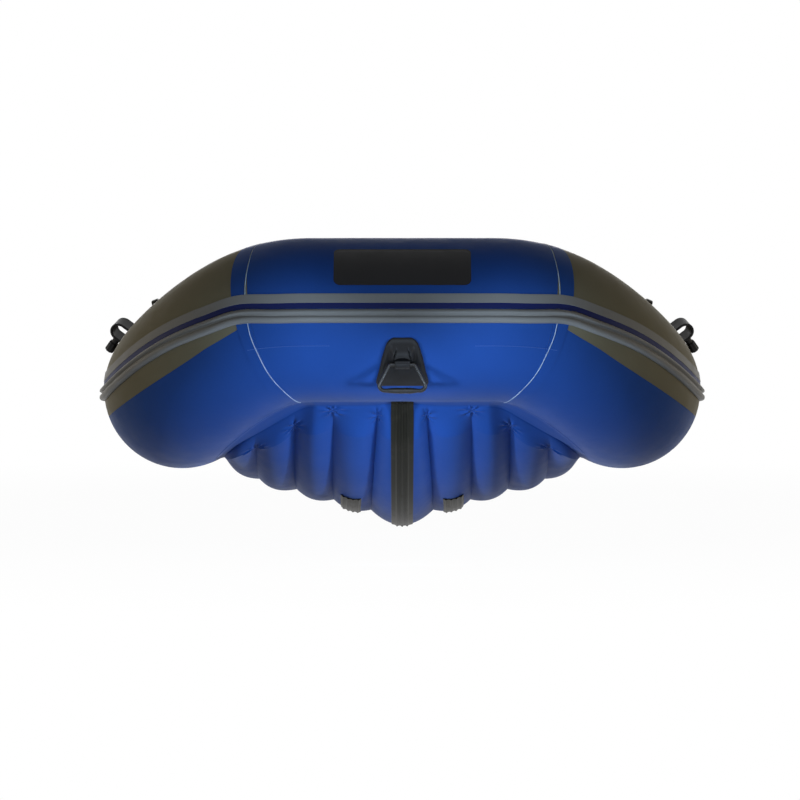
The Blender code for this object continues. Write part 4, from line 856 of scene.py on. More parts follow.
@dataclass(frozen=True)
class HullLine:
    """The tube's axis: straight bow, bend, cheek and straight side, mirrored."""

    length: float = 3.20
    tube_r: float = 0.21
    bow_half: float = 0.231
    bend_r: float = 0.282
    bend_deg: float = 34.9
    cheek_r: float = 0.465
    sheer: float = 0.192
    sheer_power: float = 1.06
    rub_proud: float = 0.013
    strake_rise: float = 2.9
    strake_rise_at: float = 0.335
    strake_rise_w: float = 0.040
    strake_fall: float = 6.5
    strake_fall_from: float = 0.44
    strake_fall_to: float = 0.78
    transom_from_stern: float = 0.520
    cone_start: float = 0.052
    side_z: float = field(default_factory=lambda: sum(c.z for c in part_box("stern_cone_port")) / 2)

    @property
    def bend(self) -> float:
        """The bow's bend in radians."""
        return math.radians(self.bend_deg)

    @property
    def s_cheek(self) -> float:
        """The run at which the cheek's wider bend starts."""
        return self.bow_half + self.bend_r * self.bend

    @property
    def s_side(self) -> float:
        """The run at which the straight side starts."""
        return self.s_cheek + self.cheek_r * (math.pi / 2 - self.bend)

    @property
    def s_seam(self) -> float:
        """The run of the seam between the bow tube and a cheek."""
        return self.bow_half + self.bend_r * self.bend / 2

    @property
    def side_run(self) -> float:
        """How far aft of the bow the straight side starts."""
        return self.bend_r * (1 - math.cos(self.bend)) + self.cheek_r * math.cos(self.bend)

    @property
    def side_x(self) -> float:
        """The straight side's distance from the centre plane."""
        sine = math.sin(self.bend)
        return self.bow_half + self.bend_r * sine + self.cheek_r * (1 - sine)

    @property
    def bow_y(self) -> float:
        """Y of the axis at the bow."""
        return -self.length / 2 + self.tube_r + self.rub_proud

    @property
    def transom_y(self) -> float:
        """Y of the transom's forward face at the tube's height."""
        return self.length / 2 - self.transom_from_stern

    @property
    def cone_y(self) -> float:
        """Y at which the stern cones start."""
        return self.transom_y + self.cone_start

    def run_at(self, y: float) -> float:
        """The run along the tube of a station Y on the straight side."""
        return self.s_side + y - self.bow_y - self.side_run

    def station(self, run: float) -> Station:
        """The axis at a run from the bow's middle; negative runs lie to starboard."""
        length, turn = abs(run), self.bend
        if length <= self.bow_half:
            heading, x, y = 0.0, length, 0.0
        elif length <= self.s_cheek:
            heading = (length - self.bow_half) / self.bend_r
            x = self.bow_half + self.bend_r * math.sin(heading)
            y = self.bend_r * (1 - math.cos(heading))
        else:
            heading = min(turn + (length - self.s_cheek) / self.cheek_r, math.pi / 2)
            x = self.bow_half + self.bend_r * math.sin(turn)
            x += self.cheek_r * (math.sin(heading) - math.sin(turn))
            y = self.bend_r * (1 - math.cos(turn))
            y += self.cheek_r * (math.cos(turn) - math.cos(heading))
            y += max(length - self.s_side, 0.0)
        share = min(max(y / self.side_run, 1e-9), 1.0)
        left = 1 - share**self.sheer_power
        fall = self.sheer_power * share ** (self.sheer_power - 1) / self.side_run
        slope = -2 * self.sheer * left * fall * math.sin(heading)
        tangent = Vector((math.cos(heading), math.sin(heading), slope)).normalized()
        out = Vector((math.sin(heading), -math.cos(heading), 0))
        up = out.cross(tangent).normalized()
        if up.z < 0:
            up = -up
        point = Vector((x, self.bow_y + y, self.side_z + self.sheer * left * left))
        if run < 0:
            for vector in (point, out, up):
                vector.x = -vector.x
            tangent = Vector((tangent.x, -tangent.y, -tangent.z))
        return Station(point, tangent, out, up)

    def strake_turn(self, run: float) -> float:
        """How far the strakes lie above their angle at the bow, at a run."""
        off = (abs(run) - self.strake_rise_at) / self.strake_rise_w
        fall = step(abs(run), self.strake_fall_from, self.strake_fall_to)
        return self.strake_rise * math.exp(-off * off) - self.strake_fall * fall

    def normal(self, run: float, angle: float) -> Vector:
        """The tube's outward direction at a run and an angle."""
        here = self.station(run)
        a = math.radians(angle)
        return math.cos(a) * here.out + math.sin(a) * here.up

    def at(self, run: float, angle: float, height: float = 0.0) -> Vector:
        """A point on the tube, or that high above its fabric."""
        here = self.station(run)
        a = math.radians(angle)
        reach = self.tube_r + height
        return here.point + reach * (math.cos(a) * here.out + math.sin(a) * here.up)

    def outwards(self, point: Vector) -> Vector:
        """The direction away from the nearest part of the axis."""
        end, count = self.run_at(1.4), 90
        best = min(
            (self.station(sign * end * i / count) for i in range(count + 1) for sign in (1, -1)),
            key=lambda here: (here.point - point).length,
        )
        return point - best.point

    def frame(self, run: float, angle: float, height: float = 0.0) -> Matrix:
        """A placement on the tube: Z outwards, X aft along the port side."""
        return frame_matrix(
            self.at(run, angle, height), self.station(run).tangent, self.normal(run, angle)
        )


HULL = HullLine()


def between(start: float, end: float, pitch: float) -> list[float]:
    """Even stations from start to end, at most a pitch apart."""
    count = max(1, math.ceil(abs(end - start) / pitch))
    return [start + (end - start) * i / count for i in range(count + 1)]


def hull_stations(start: float, end: float) -> list[float]:
    """Runs that keep the bends smooth and the straight sides light."""
    coarse, fine = 0.05, 0.010
    inner = (-HULL.s_side, -HULL.bow_half, HULL.bow_half, HULL.s_side)
    marks = [start, *(mark for mark in inner if start < mark < end), end]
    runs = [start]
    for a, b in zip(marks, marks[1:]):
        straight = min(abs(a), abs(b)) >= HULL.s_side - 1e-6
        runs += between(a, b, coarse if straight else fine)[1:]
    return runs


# The hull's fabric


def pierced(mesh: Mesh, place: Matrix) -> Mesh:
    """The sheet without its faces in a valve's sleeve."""
    back, depth = place.inverted(), 0.03
    with editing(mesh) as bm:
        for radius in (Valves.flange_r, Valves.sleeve_r):
            close = []
            for face in bm.faces:
                centre = back @ face.calc_center_median()
                if abs(centre.z) < depth and centre.xy.length < radius:
                    close.append(face)
            if radius == Valves.flange_r:
                edges = {edge for face in close for edge in face.edges}
                bmesh.ops.subdivide_edges(bm, edges=list(edges), cuts=3, use_grid_fill=True)
            else:
                bmesh.ops.delete(bm, geom=close, context="FACES")
    return mesh


@dataclass
class HullFabric:
    """Panels, laps, seam lines and cones of the tube."""

    shop: Workshop
    sweep: SweepTree
    fabric: float = 0.0011
    edge_bow: float = 2.2
    edge_side: float = -20.2
    edge_run: float = 0.105
    edge_inner: float = 200.0
    angle_step: float = 3.0
    lap: float = 0.0235
    lap_t: float = 0.0006
    seam_w: float = 0.0022
    seam_t: float = 0.0009
    seam_ends: tuple[float, float] = (-97.0, 176.0)
    cone_end_r: float = 0.078
    cone_nose: float = 0.030
    cone_swell: float = 0.06
    glue_line: float = -17.6
    glue_ends: tuple[float, float] = (0.182, 0.335)
    slit: float = 0.04
    trim: float = 0.0012
    uneven: float = 0.0005
    tuck: float = 0.0006
    tuck_reach: float = 0.030
    seam_marks: tuple[tuple[float, float], ...] = (
        (-98.0, -0.026), (-80.0, -0.024), (-61.5, -0.0155), (-40.5, -0.0020), (-23.0, 0.0030),
        (-8.0, 0.0062), (4.0, 0.0052), (25.0, 0.0030), (50.0, -0.0008), (70.0, 0.0), (196.0, 0.0)
    )

    def colour_edge(self, run: float) -> float:
        """The angle of the edge between the grey and the blue panel."""
        left = math.exp((HULL.s_seam - abs(run)) / self.edge_run)
        return self.edge_side + (self.edge_bow - self.edge_side) * left

    def seam_run(self, angle: float) -> float:
        """The run at which the bow tube's cut edge lies on the cheek, at an angle."""
        return HULL.s_seam + through(self.seam_marks, angle)

    def relief(self, run: float, angle: float) -> float:
        """Slight unevenness of the inflated fabric, with tucks at the bow's seams."""
        here = HULL.at(run, angle)
        broad = self.uneven * noise.noise(here * 7.0)
        near = math.exp(-(((abs(run) - HULL.s_seam) / self.tuck_reach) ** 2))
        tucks = self.tuck * noise.noise(Vector((abs(run) * 12, angle * 0.16, 3.1)))
        return broad + near * tucks

    def panel(
        self, name: str, runs: tuple[float, float], low: Callable[[float], float],
        high: Callable[[float], float], height: float = 0.0, wrap: bool = False
    ) -> Mesh:
        """A sheet of fabric between two runs and two edges.

        Args:
            name: The sheet's name.
            runs: Its first and last run along the tube.
            low: Its lower edge's angle at a run.
            high: Its upper edge's angle at a run.
            height: How high it lies above the hull's fabric.
            wrap: Whether it goes all the way round.

        Returns:
            The open sheet.
        """
        span = high(runs[0]) - low(runs[0])
        count = math.ceil(span / self.angle_step)
        last = count if wrap else count + 1
        rows = []
        for run in hull_stations(*runs):
            bottom, top = low(run), high(run)
            angles = [bottom + (top - bottom) * i / count for i in range(last)]
            rows.append([HULL.at(run, a, height + self.relief(run, a)) for a in angles])
        return skin(name, rows, HULL.outwards, wrap)

    def build(self) -> None:
        """Add every piece of the hull's fabric."""
        worn = self.shop.wardrobe
        seam, side, cone = HULL.s_seam, HULL.s_side, HULL.run_at(HULL.cone_y)
        half = GAP / 2
        runs = (-seam + half, seam - half)
        bow = self.panel("bow", runs, lambda s: 0.0, lambda s: 360.0, wrap=True)
        outfit = Outfit(worn.blue, "blue_fabric", replaces=("bow_tube",), wall=self.fabric)
        self.shop.add("bow_tube_skin", pierced(bow, VALVES["bow"]), outfit)
        low = self.edge_inner - 360
        for name, start, end in (("cheek", seam, side), ("side", side, cone)):
            runs = (start + half, end - half)
            upper = self.panel(
                name, runs, lambda s: self.colour_edge(s) + self.slit,
                lambda s: self.edge_inner - self.slit
            )
            if name == "side":
                upper = pierced(upper, VALVES["port"])
            lower = self.panel(
                name, runs, lambda s: low + self.slit, lambda s: self.colour_edge(s) - self.slit
            )
            for part, mesh, material, slot in (
                ("upper", upper, worn.grey, "grey_fabric"),
                ("lower", lower, worn.blue, "blue_fabric"),
            ):
                node = f"{name}_panel_{part}_{{side}}"
                outfit = Outfit(material, slot, replaces=(node,), wall=self.fabric)
                self.shop.pair(f"{name}_skin_{part}", mesh, outfit)
        self.build_laps()
        self.build_seams()
        self.build_cones()

    def build_laps(self) -> None:
        """Straps that lap over the joints between panels."""
        worn = self.shop.wardrobe
        side, cone = HULL.s_side, HULL.run_at(HULL.cone_y)
        lowest, under, over = -120.0, -98.0, 196.0
        rows = []
        for share in between(0.0, 1.0, 0.125):
            row = []
            for a in between(under, over, self.angle_step):
                start = self.seam_run(a) + self.trim
                run = start + (HULL.s_seam + self.lap - start) * share
                row.append(HULL.at(run, a, self.lap_t + self.relief(run, a)))
            rows.append(row)
        bow = skin("bow_lap", rows, HULL.outwards)
        outfit = Outfit(worn.blue, "blue_fabric", wall=self.lap_t)
        self.shop.pair("bow_lap", bow, outfit)
        for name, start, end in (
            ("side", side - self.lap, side + self.lap), ("cone", cone - self.lap, cone - self.trim)
        ):
            upper = self.panel(name, (start, end), self.colour_edge, lambda s: over, self.lap_t)
            lower = self.panel(name, (start, end), lambda s: lowest, self.colour_edge, self.lap_t)
            grey = Outfit(worn.grey, "grey_fabric", wall=self.lap_t)
            self.shop.pair(f"{name}_lap_upper", upper, grey)
            self.shop.pair(f"{name}_lap_lower", lower, outfit)

    def build_seams(self) -> None:
        """White lines where the bow tube's cut edges show, and a line of glue."""
        worn = self.shop.wardrobe
        half = self.seam_w / 2
        section = [(0.0, -half), (self.seam_t, -half * 0.5), (self.seam_t, half * 0.5), (0.0, half)]
        path = []
        for a in between(*self.seam_ends, self.angle_step):
            run = self.seam_run(a)
            path.append((HULL.at(run, a, self.relief(run, a)), HULL.normal(run, a)))
        line = self.sweep.run("bow_seam", path, section, worn.white)
        self.shop.pair("bow_seam", line, Outfit(worn.white, "blue_fabric"))
        thin = [(x * 0.6, y * 0.55) for x, y in section]
        near, far = self.glue_ends
        for index, (start, end) in enumerate(((-far, -near), (near, far))):
            path = [
                (HULL.at(s, self.glue_line, 0.0002), HULL.normal(s, self.glue_line))
                for s in between(start, end, 0.012)
            ]
            mesh = self.sweep.run(f"glue_line_{index}", path, thin, worn.glue)
            self.shop.add(f"glue_line_{index}", mesh, Outfit(worn.glue, "blue_fabric"))

    def build_cones(self) -> None:
        """Tapered stern ends with a round nose and a moulded end cap."""
        worn = self.shop.wardrobe
        length = HULL.length / 2 - HULL.cone_y - GAP / 2
        taper = length - self.cone_nose
        flat = self.cone_end_r - self.cone_nose
        nose = [(flat + r, taper + z) for r, z in arc((0, 0), self.cone_nose, 0, 90, 10)]
        profile = []
        for i in range(25):
            share = i / 24
            swell = self.cone_swell * HULL.tube_r * math.sin(math.pi * share)
            radius = HULL.tube_r + (self.cone_end_r - HULL.tube_r) * share + swell
            profile.append((radius, taper * share))
        profile += nose[1:] + [(0.0, length)]
        rows = [[polar(r, t, z) for t in turns(120)] for r, z in profile]
        axis = Vector((0, 0, 0.08))
        mesh = skin("stern_cone", rows, lambda point: point - axis, wrap=True)
        with editing(mesh) as bm:
            bmesh.ops.remove_doubles(bm, verts=bm.verts, dist=MERGE)
        origin = Vector((HULL.side_x, HULL.cone_y + GAP / 2, HULL.side_z))
        place = frame_matrix(origin, Vector((1, 0, 0)), Vector((0, 1, 0)))
        outfit = Outfit(worn.blue, "blue_fabric", replaces=("stern_cone_{side}",), wall=self.fabric)
        self.shop.pair("stern_cone_skin", placed(mesh, place), outfit)


# Strips round the hull


@dataclass
class Strips:
    """The flat band with its dark stripe, and the ribbed rubbing strake."""

    shop: Workshop
    sweep: SweepTree
    band_top: float = 18.8
    band_low: float = 12.2
    stripe_low: float = 8.5
    band_t: float = 0.0016
    stripe_t: float = 0.0008
    rub_top: float = 8.1
    rub_low: float = -1.7
    proud: float = 0.0130
    split: float = 0.00002

    def section(self, points: Outline, base: tuple[float, float], middle: float) -> Outline:
        """A strip's section about its path, which runs along the tube at the middle.

        Args:
            points: The outer side as (angle, height) points from the top down.
            base: The angles of the lower and the upper edge on the tube.
            middle: The path's angle.

        Returns:
            The closed section as (height, way down) points.
        """
        low, high = base
        under = [(low + (high - low) * i / 4, 0.0) for i in range(5)]
        result = []
        for angle, height in [*points, *under]:
            reach = HULL.tube_r + SEAT + height
            turn = math.radians(angle - middle)
            result.append((reach * math.cos(turn) - HULL.tube_r, -reach * math.sin(turn)))
        return result

    def rub_section(self) -> Outline:
        """The rubbing strake's outer side: a sloping top, a groove and a round nose."""
        span = self.rub_top - self.rub_low
        ribs = [
            (1.00, 0.10), (0.97, 0.34), (0.90, 0.60), (0.82, 0.84), (0.75, 0.90), (0.69, 0.84),
            (0.64, 0.66), (0.60, 0.48), (0.55, 0.42), (0.50, 0.48), (0.46, 0.68), (0.40, 0.90),
            (0.32, 0.99), (0.24, 1.00), (0.16, 0.92), (0.09, 0.74), (0.03, 0.42), (0.00, 0.10)
        ]
        return [(self.rub_low + span * share, self.proud * height) for share, height in ribs]

    def path(self, start: float, end: float, angle: float) -> list[tuple[Vector, Vector]]:
        """A path along the tube with its outward directions."""
        path = []
        for run in hull_stations(start, end):
            turn = angle + HULL.strake_turn(run)
            path.append((HULL.at(run, turn), HULL.normal(run, turn)))
        return path

    def build(self) -> None:
        """Add the bow and side lengths of each strip."""
        worn = self.shop.wardrobe
        grey = [
            (self.band_top, 0.0006), (self.band_top - 0.15, self.band_t),
            (self.band_low + 0.15, self.band_t), (self.band_low, 0.0009)
        ]
        navy = [(self.band_low, self.stripe_t), (self.stripe_low, self.stripe_t)]
        strips = (
            ("upper_band", "band", grey, (self.band_low, self.band_top), worn.band),
            ("", "navy_stripe", navy, (self.stripe_low, self.band_low), worn.navy),
            ("rub_strake", "strake", self.rub_section(), (self.rub_low, self.rub_top), worn.band),
        )
        cone = HULL.run_at(HULL.cone_y) - 0.0003
        joint = HULL.s_cheek
        for node, name, outer, base, material in strips:
            middle = sum(base) / 2
            section = self.section(outer, base, middle)
            for part, start, end, own, add in (
                ("bow", -joint, joint, f"{name}_bow", self.shop.add),
                ("{side}", joint, cone, name, self.shop.pair),
            ):
                path = self.path(start + self.split, end - self.split, middle)
                mesh = self.sweep.run(own, path, section, material)
                nodes = (f"{node}_{part}",) if node else ()
                add(own, mesh, Outfit(material, "band_grey", replaces=nodes))


# The air floor


@dataclass
class AirFloor:
    """Bottom skin with its lobes and webs, top skin and the tapes along its edge."""

    shop: Workshop
    keel_drop: float = 0.384
    keel_half: float = 0.0866
    keel_sag: float = 0.042
    lobe_w: float = 0.1025
    lobe_sag: float = 0.014
    edge_sag: float = 0.024
    side_lobes: int = 3
    deadrise: float = 15.7
    ramp_length: float = 0.75
    ramp_power: float = 2.2
    fabric: float = 0.0010
    skin_gap: float = 0.0015
    top_drop: float = 0.107
    top_sag: float = 0.010
    top_ramp: float = 0.62
    under: tuple[float, float] = (-90.0, -121.6)
    inside: tuple[float, float] = (-135.0, -149.0)
    rake: float = 5.0
    under_seat: float = 0.0010
    aft: float = 2.0
    tape_w: float = 0.026
    ramp_swell: float = 0.75
    lip_u: float = 0.02
    lip_marks: tuple[tuple[float, float], ...] = (
        (0.0, 0.004), (0.06, 0.007), (0.12, 0.014), (0.25, 0.016), (0.28, 0.021), (0.32, 0.031),
        (0.36, 0.034), (0.40, 0.027), (0.44, 0.008), (0.60, 0.006)
    )
    weld_tops: tuple[float, ...] = (0.045, 0.030, 0.086, 0.125)
    bridge: float = 0.012
    fold: float = 0.0030
    fold_at: float = 0.014
    fold_w: float = 0.012
    fold_reach: float = 0.07
    fold_count: int = 7
    fold_shift: float = 9.0
    halvings: int = 40
    web_low: float = 0.0015
    web_high: float = 0.0027
    tape_t: float = 0.0006
    gathers: tuple[tuple[float, float], ...] = (
        (0.0, 0.0), (0.030, 0.0), (0.0866, 0.30), (0.1891, 0.06), (0.2916, 0.05), (0.3941, 0.03),
        (0.5, 0.0)
    )
    seats: dict[tuple[float, bool], float] = field(default_factory=dict)

    @property
    def valleys(self) -> list[float]:
        """Distances of the lobes' welds from the centre plane."""
        return [self.keel_half + self.lobe_w * i for i in range(self.side_lobes + 1)]

    @property
    def edge(self) -> Vector:
        """Where the bottom skin meets the straight side."""
        reach = self.fabric + self.skin_gap
        return HULL.at(HULL.s_side, self.under[1], reach)

    def on_seam(self, run: float, below: bool, turn: float = 0.0, height: float = 0.0) -> Vector:
        """A point on or near the line along which a skin meets the tube.

        Args:
            run: The run along the tube.
            below: Whether it is the bottom skin.
            turn: Degrees round the tube from that line.
            height: Height above the tube's fabric.

        Returns:
            The point.
        """
        bow, side = self.under if below else self.inside
        tangent = HULL.station(run).tangent
        share = math.atan2(tangent.y, tangent.x) / (math.pi / 2)
        return HULL.at(run, bow + (side - bow) * share + turn, height)

    def seat_run(self, x: float, below: bool) -> float:
        """The run at which a skin meets the tube at a distance from the centre plane."""
        key = (round(x, 6), below)
        if key not in self.seats:
            reach = self.skin_gap + (self.fabric if below else 0.0)
            low, high = 0.0, HULL.s_side
            if x < self.on_seam(high, below, height=reach).x:
                for _ in range(self.halvings):
                    middle = (low + high) / 2
                    short = self.on_seam(middle, below, height=reach).x < x
                    low, high = (middle, high) if short else (low, middle)
            else:
                low = high
            self.seats[key] = (low + high) / 2
        return self.seats[key]

    def seat(self, x: float, below: bool) -> Vector:
        """Where a skin meets the tube at a distance from the centre plane."""
        reach = self.skin_gap + (self.fabric if below else 0.0)
        return self.on_seam(self.seat_run(x, below), below, height=reach)

    def transom_face(self, z: float) -> float:
        """Y of the transom's forward face at a height."""
        return HULL.transom_y + (z - HULL.side_z) * math.tan(math.radians(self.rake))

    def aft_run(self, z: float, ramp_end: float, share: float) -> float:
        """Y of a skin behind its ramp."""
        return ramp_end + (self.transom_face(z) - self.skin_gap - ramp_end) * (share - 1)

    def ease(self, share: float) -> float:
        """How far the floor has come down along its ramp."""
        return 1 - (1 - min(share, 1.0)) ** self.ramp_power

    def chord(self, x: float, share: float) -> Vector:
        """The bottom skin without its lobes."""
        keel_z = HULL.side_z - self.keel_drop + self.keel_sag
        rise = math.tan(math.radians(self.deadrise))
        depth = keel_z + max(x - self.valleys[0], 0.0) * rise
        if x > self.valleys[-1]:
            outer = keel_z + (self.valleys[-1] - self.valleys[0]) * rise
            left = (x - self.valleys[-1]) / (self.edge.x - self.valleys[-1])
            depth = outer + (self.edge.z - outer) * left
        ramp_end = HULL.bow_y + self.ramp_length
        if share > 1:
            return Vector((x, self.aft_run(depth, ramp_end, share), depth))
        front = self.seat(x, True)
        y = front.y + (ramp_end - front.y) * share
        return Vector((x, y, front.z + (depth - front.z) * self.ease(share)))

    def lobe_normal(self, left: float, right: float, share: float) -> Vector:
        """The outward direction of a lobe."""
        across = self.chord(right, share) - self.chord(left, share)
        middle = (left + right) / 2
        reach = 0.02
        low, high = max(share - reach, 0.0), min(share + reach, self.aft)
        along = self.chord(middle, high) - self.chord(middle, low)
        return along.cross(across).normalized()

    def lip(self, x: float) -> float:
        """The share at which the lobes start under the tape, at a distance from the centre."""
        return through(self.lip_marks, abs(x))

    def along(self, x: float, v: float) -> float:
        """A share of the bottom skin's length, so that rows follow the tape's lip."""
        if v >= 1:
            return v
        lip = self.lip(x)
        if v <= self.lip_u:
            return lip * v / self.lip_u
        return lip + (v - self.lip_u) * (1 - lip) / (1 - self.lip_u)

    def nearest(self, x: float) -> int:
        """Which weld lies nearest to a distance from the centre plane."""
        return min(range(len(self.valleys)), key=lambda i: abs(x - self.valleys[i]))

    def pucker(self, x: float, share: float) -> float:
        """Small folds that fan out from the top of each weld."""
        weld = self.nearest(x)
        depth = (share - self.weld_tops[weld]) * (self.ramp_length + 0.15)
        near = x - self.valleys[weld]
        reach = math.hypot(near, depth)
        if reach > self.fold_reach:
            return 0.0
        fan = math.cos(self.fold_count * math.atan2(near, -depth) + self.fold_shift * x)
        return self.fold * fan * math.exp(-(((reach - self.fold_at) / self.fold_w) ** 2))

    def gathered(self, x: float, share: float) -> float:
        """A distance from the centre plane, drawn in towards the stem near the bow."""
        if share >= 1:
            return x
        return x * (1 - through(self.gathers, x) * (1 - share) ** 2.2)

    @staticmethod
    def lobe_at(bounds: Sequence[float], x: float) -> tuple[int, float, float, float]:
        """The lobe at a distance from the centre plane.

        Args:
            bounds: Distances of the welds and of the skin's edge.
            x: The distance.

        Returns:
            The lobe's number, its two ends and the share of its width at that distance.
        """
        ends = [-bounds[0], *bounds]
        lobe = max(i for i in range(len(bounds)) if x >= ends[i] - 1e-9)
        left, right = ends[lobe], ends[lobe + 1]
        return lobe, left, right, (x - left) / (right - left)

    def bottom(self, x: float, share: float) -> Vector:
        """The bottom skin's outer face at a distance from the centre plane."""
        lobe, left, right, t = self.lobe_at([*self.valleys, self.edge.x], x)
        swell = self.ramp_swell * step(share, 0.0, 0.12) * (1 - step(share, 0.50, 0.95))
        deep = self.lobe_sag * (1 + swell)
        sag = [self.keel_sag] + [deep] * self.side_lobes + [self.edge_sag]
        normal = self.lobe_normal(max(left, 0.0), right, share)
        if lobe == 0:
            normal.x = 0.0
            normal.normalize()
        fade = min(max(share - self.lip(x), 0.0) / 0.10, 1.0) ** 0.6
        crown = 4 * t * (1 - t)
        top = self.weld_tops[self.nearest(abs(x))]
        bridge = self.bridge * (1 - step(share, top - 0.025, top + 0.03))
        if right == self.edge.x and t > 0.5:
            bridge = 0.0
        lift = (crown * sag[lobe] + (1 - crown) * bridge) * fade + self.pucker(abs(x), share)
        point = self.chord(abs(x), share) + normal * lift
        if share > 1:
            point.y = self.aft_run(point.z, HULL.bow_y + self.ramp_length, share)
        point.x = self.gathered(point.x, share)
        return point

    def top(self, x: float, share: float, lift: float = 0.0) -> Vector:
        """The top skin's upper face at a distance from the centre plane."""
        level = HULL.side_z - self.top_drop
        ramp_end = HULL.bow_y + self.top_ramp
        if share > 1:
            return Vector((x, self.aft_run(level, ramp_end, share), level + lift))
        front = self.seat(x, False)
        y = front.y + (ramp_end - front.y) * share
        z = front.z + (level - front.z) * self.ease(share)
        return Vector((x, y, z + lift * min(1.0, math.sqrt(share / 0.2))))

    def columns(self, bounds: Sequence[float], steps: int) -> list[float]:
        """Distances of a skin's columns, port half, closer together near the welds."""
        result = []
        for a, b in zip([-bounds[0], *bounds], bounds):
            for i in range(steps):
                even = i / steps
                share = (even + (1 - math.cos(math.pi * even)) / 2) / 2
                result.append(a + (b - a) * share)
        return [x for x in result if x > -1e-9] + [bounds[-1]]

    @staticmethod
    def both_halves(row: Sequence[Vector]) -> list[Vector]:
        """A row of the port half with its mirror image before it."""
        other = [Vector((-p.x, p.y, p.z)) for p in reversed(row[1:])]
        return other + list(row)

    def build(self) -> None:
        """Add the skins, webs and tapes."""
        worn = self.shop.wardrobe
        shares = [0.0, self.lip_u / 2] + between(self.lip_u, 0.14, 0.0034)
        shares += between(0.14, 1.0, 0.022)[1:] + between(1.0, 2.0, 0.056)[1:]
        columns = self.columns([*self.valleys, self.edge.x], 18)
        halves = [[self.bottom(x, self.along(x, v)) for x in columns] for v in shares]
        rows = [self.both_halves(half) for half in halves]
        outfit = Outfit(
            worn.blue, "blue_fabric", replaces=("floor_bottom_skin",), wall=self.fabric, sharp=24.0
        )
        down = skin("floor_bottom", rows, lambda point: Vector((0, -0.5, -1)))
        self.shop.add("floor_bottom_lobes", down, outfit)
        for index, x in enumerate(self.valleys):
            rows = []
            for v in (share for share in shares if share > 0.16):
                low = self.bottom(x, v) + Vector((0, 0, self.web_low))
                high = self.top(x, v) - Vector((0, 0, self.web_high))
                rows.append([low.lerp(high, t) for t in (0.0, 0.5, 1.0)])
            web = skin("floor_web", rows, lambda point: Vector((1, 0, 0)))
            self.shop.pair(
                f"floor_web_{index + 1}", web, Outfit(worn.inner, "blue_fabric", wall=self.fabric)
            )
        self.build_top(worn)
        self.build_tapes(worn)

    def build_top(self, worn: Wardrobe) -> None:
        """The walked-on skin, domed between the webs."""
        inner_edge = self.seat(10.0, False).x
        bounds = [*self.valleys[:-1], inner_edge]
        columns = self.columns(bounds, 10)
        shares = [(i / 30) ** 1.2 for i in range(31)] + [1 + i / 18 for i in range(1, 19)]
        places = [self.lobe_at(bounds, x)[-1] for x in columns]
        domes = [(x, 4 * t * (1 - t) * self.top_sag) for x, t in zip(columns, places)]
        rows = [self.both_halves([self.top(x, v, lift) for x, lift in domes]) for v in shares]
        mesh = skin("floor_top", rows, lambda point: Vector((0, 0, 1)))
        mesh = pierced(mesh, VALVES["floor"])
        outfit = Outfit(
            worn.deck, "floor_grey", replaces=("floor_top_skin",), wall=self.fabric, sharp=24.0
        )
        self.shop.add("floor_top_lobes", mesh, outfit)

    def build_tapes(self, worn: Wardrobe) -> None:
        """Tapes that weld the skins' edges to the tube."""
        end = HULL.run_at(HULL.transom_y - 0.01)
        spread = math.degrees(self.tape_w / HULL.tube_r)
        for name, below, material, slot, start in (
            ("floor_side_tape", True, worn.blue, "blue_fabric", HULL.s_side - 0.02),
            ("deck_tape", False, worn.grey, "grey_fabric", 0.0),
        ):
            out = spread if below else -spread
            rows = [
                [
                    self.on_seam(run, below, out * (i / 5 - 0.2), 0.0007 if 0 < i < 6 else 0.0002)
                    for i in range(7)
                ]
                for run in hull_stations(start, end)
            ]
            mesh = skin(name, rows, HULL.outwards)
            self.shop.pair(name, mesh, Outfit(material, slot, wall=self.tape_t))
        rows = []
        for x in between(0.0, self.edge.x, 0.004):
            run = self.seat_run(x, True)
            marks = ((6.0, 0.0001), (5.7, 0.0007), (4.5, 0.0008), (3.0, 0.0009))
            row = [self.on_seam(run, True, turn, height) for turn, height in marks]
            end = self.lip(x)
            lip = [self.under_lip(x, end * t, 0.0012) for t in (0.5, 0.8, 1.0)]
            lip.append(self.under_lip(x, end + 0.0004, 0.0001))
            row += [row[-1].lerp(lip[0], t) for t in (0.25, 0.5, 0.75)] + lip
            rows.append(row)
        rows = [[Vector((-p.x, p.y, p.z)) for p in row] for row in reversed(rows[1:])] + rows
        tape = skin("floor_bow_tape", rows, lambda point: Vector((0, -1, -0.5)))
        outfit = Outfit(worn.blue, "blue_fabric", wall=self.tape_t)
        self.shop.add("floor_bow_tape", tape, outfit)

    def under_lip(self, x: float, share: float, height: float) -> Vector:
        """A point that far below the bottom skin in front of its lobes."""
        point = self.chord(x, share) + Vector((0, -0.7, -0.7)) * height
        point.x = self.gathered(point.x, share)
        return point

    def lifted(self, x: float, share: float, height: float) -> Vector:
        """A point that far off the bottom skin's outer face, on either side."""
        dx, dv = 0.002, 0.008
        near = abs(x)
        across = self.bottom(near + dx, share) - self.bottom(max(near - dx, 0.0), share)
        low, high = max(share - dv, 0.0), min(share + dv, self.aft)
        along = self.bottom(near, high) - self.bottom(near, low)
        normal = along.cross(across)
        if near < dx:
            normal.x = 0
        point = self.bottom(near, share) + normal.normalized() * height
        return Vector((math.copysign(point.x, x) if x else 0.0, point.y, point.z))


# Runners under the floor


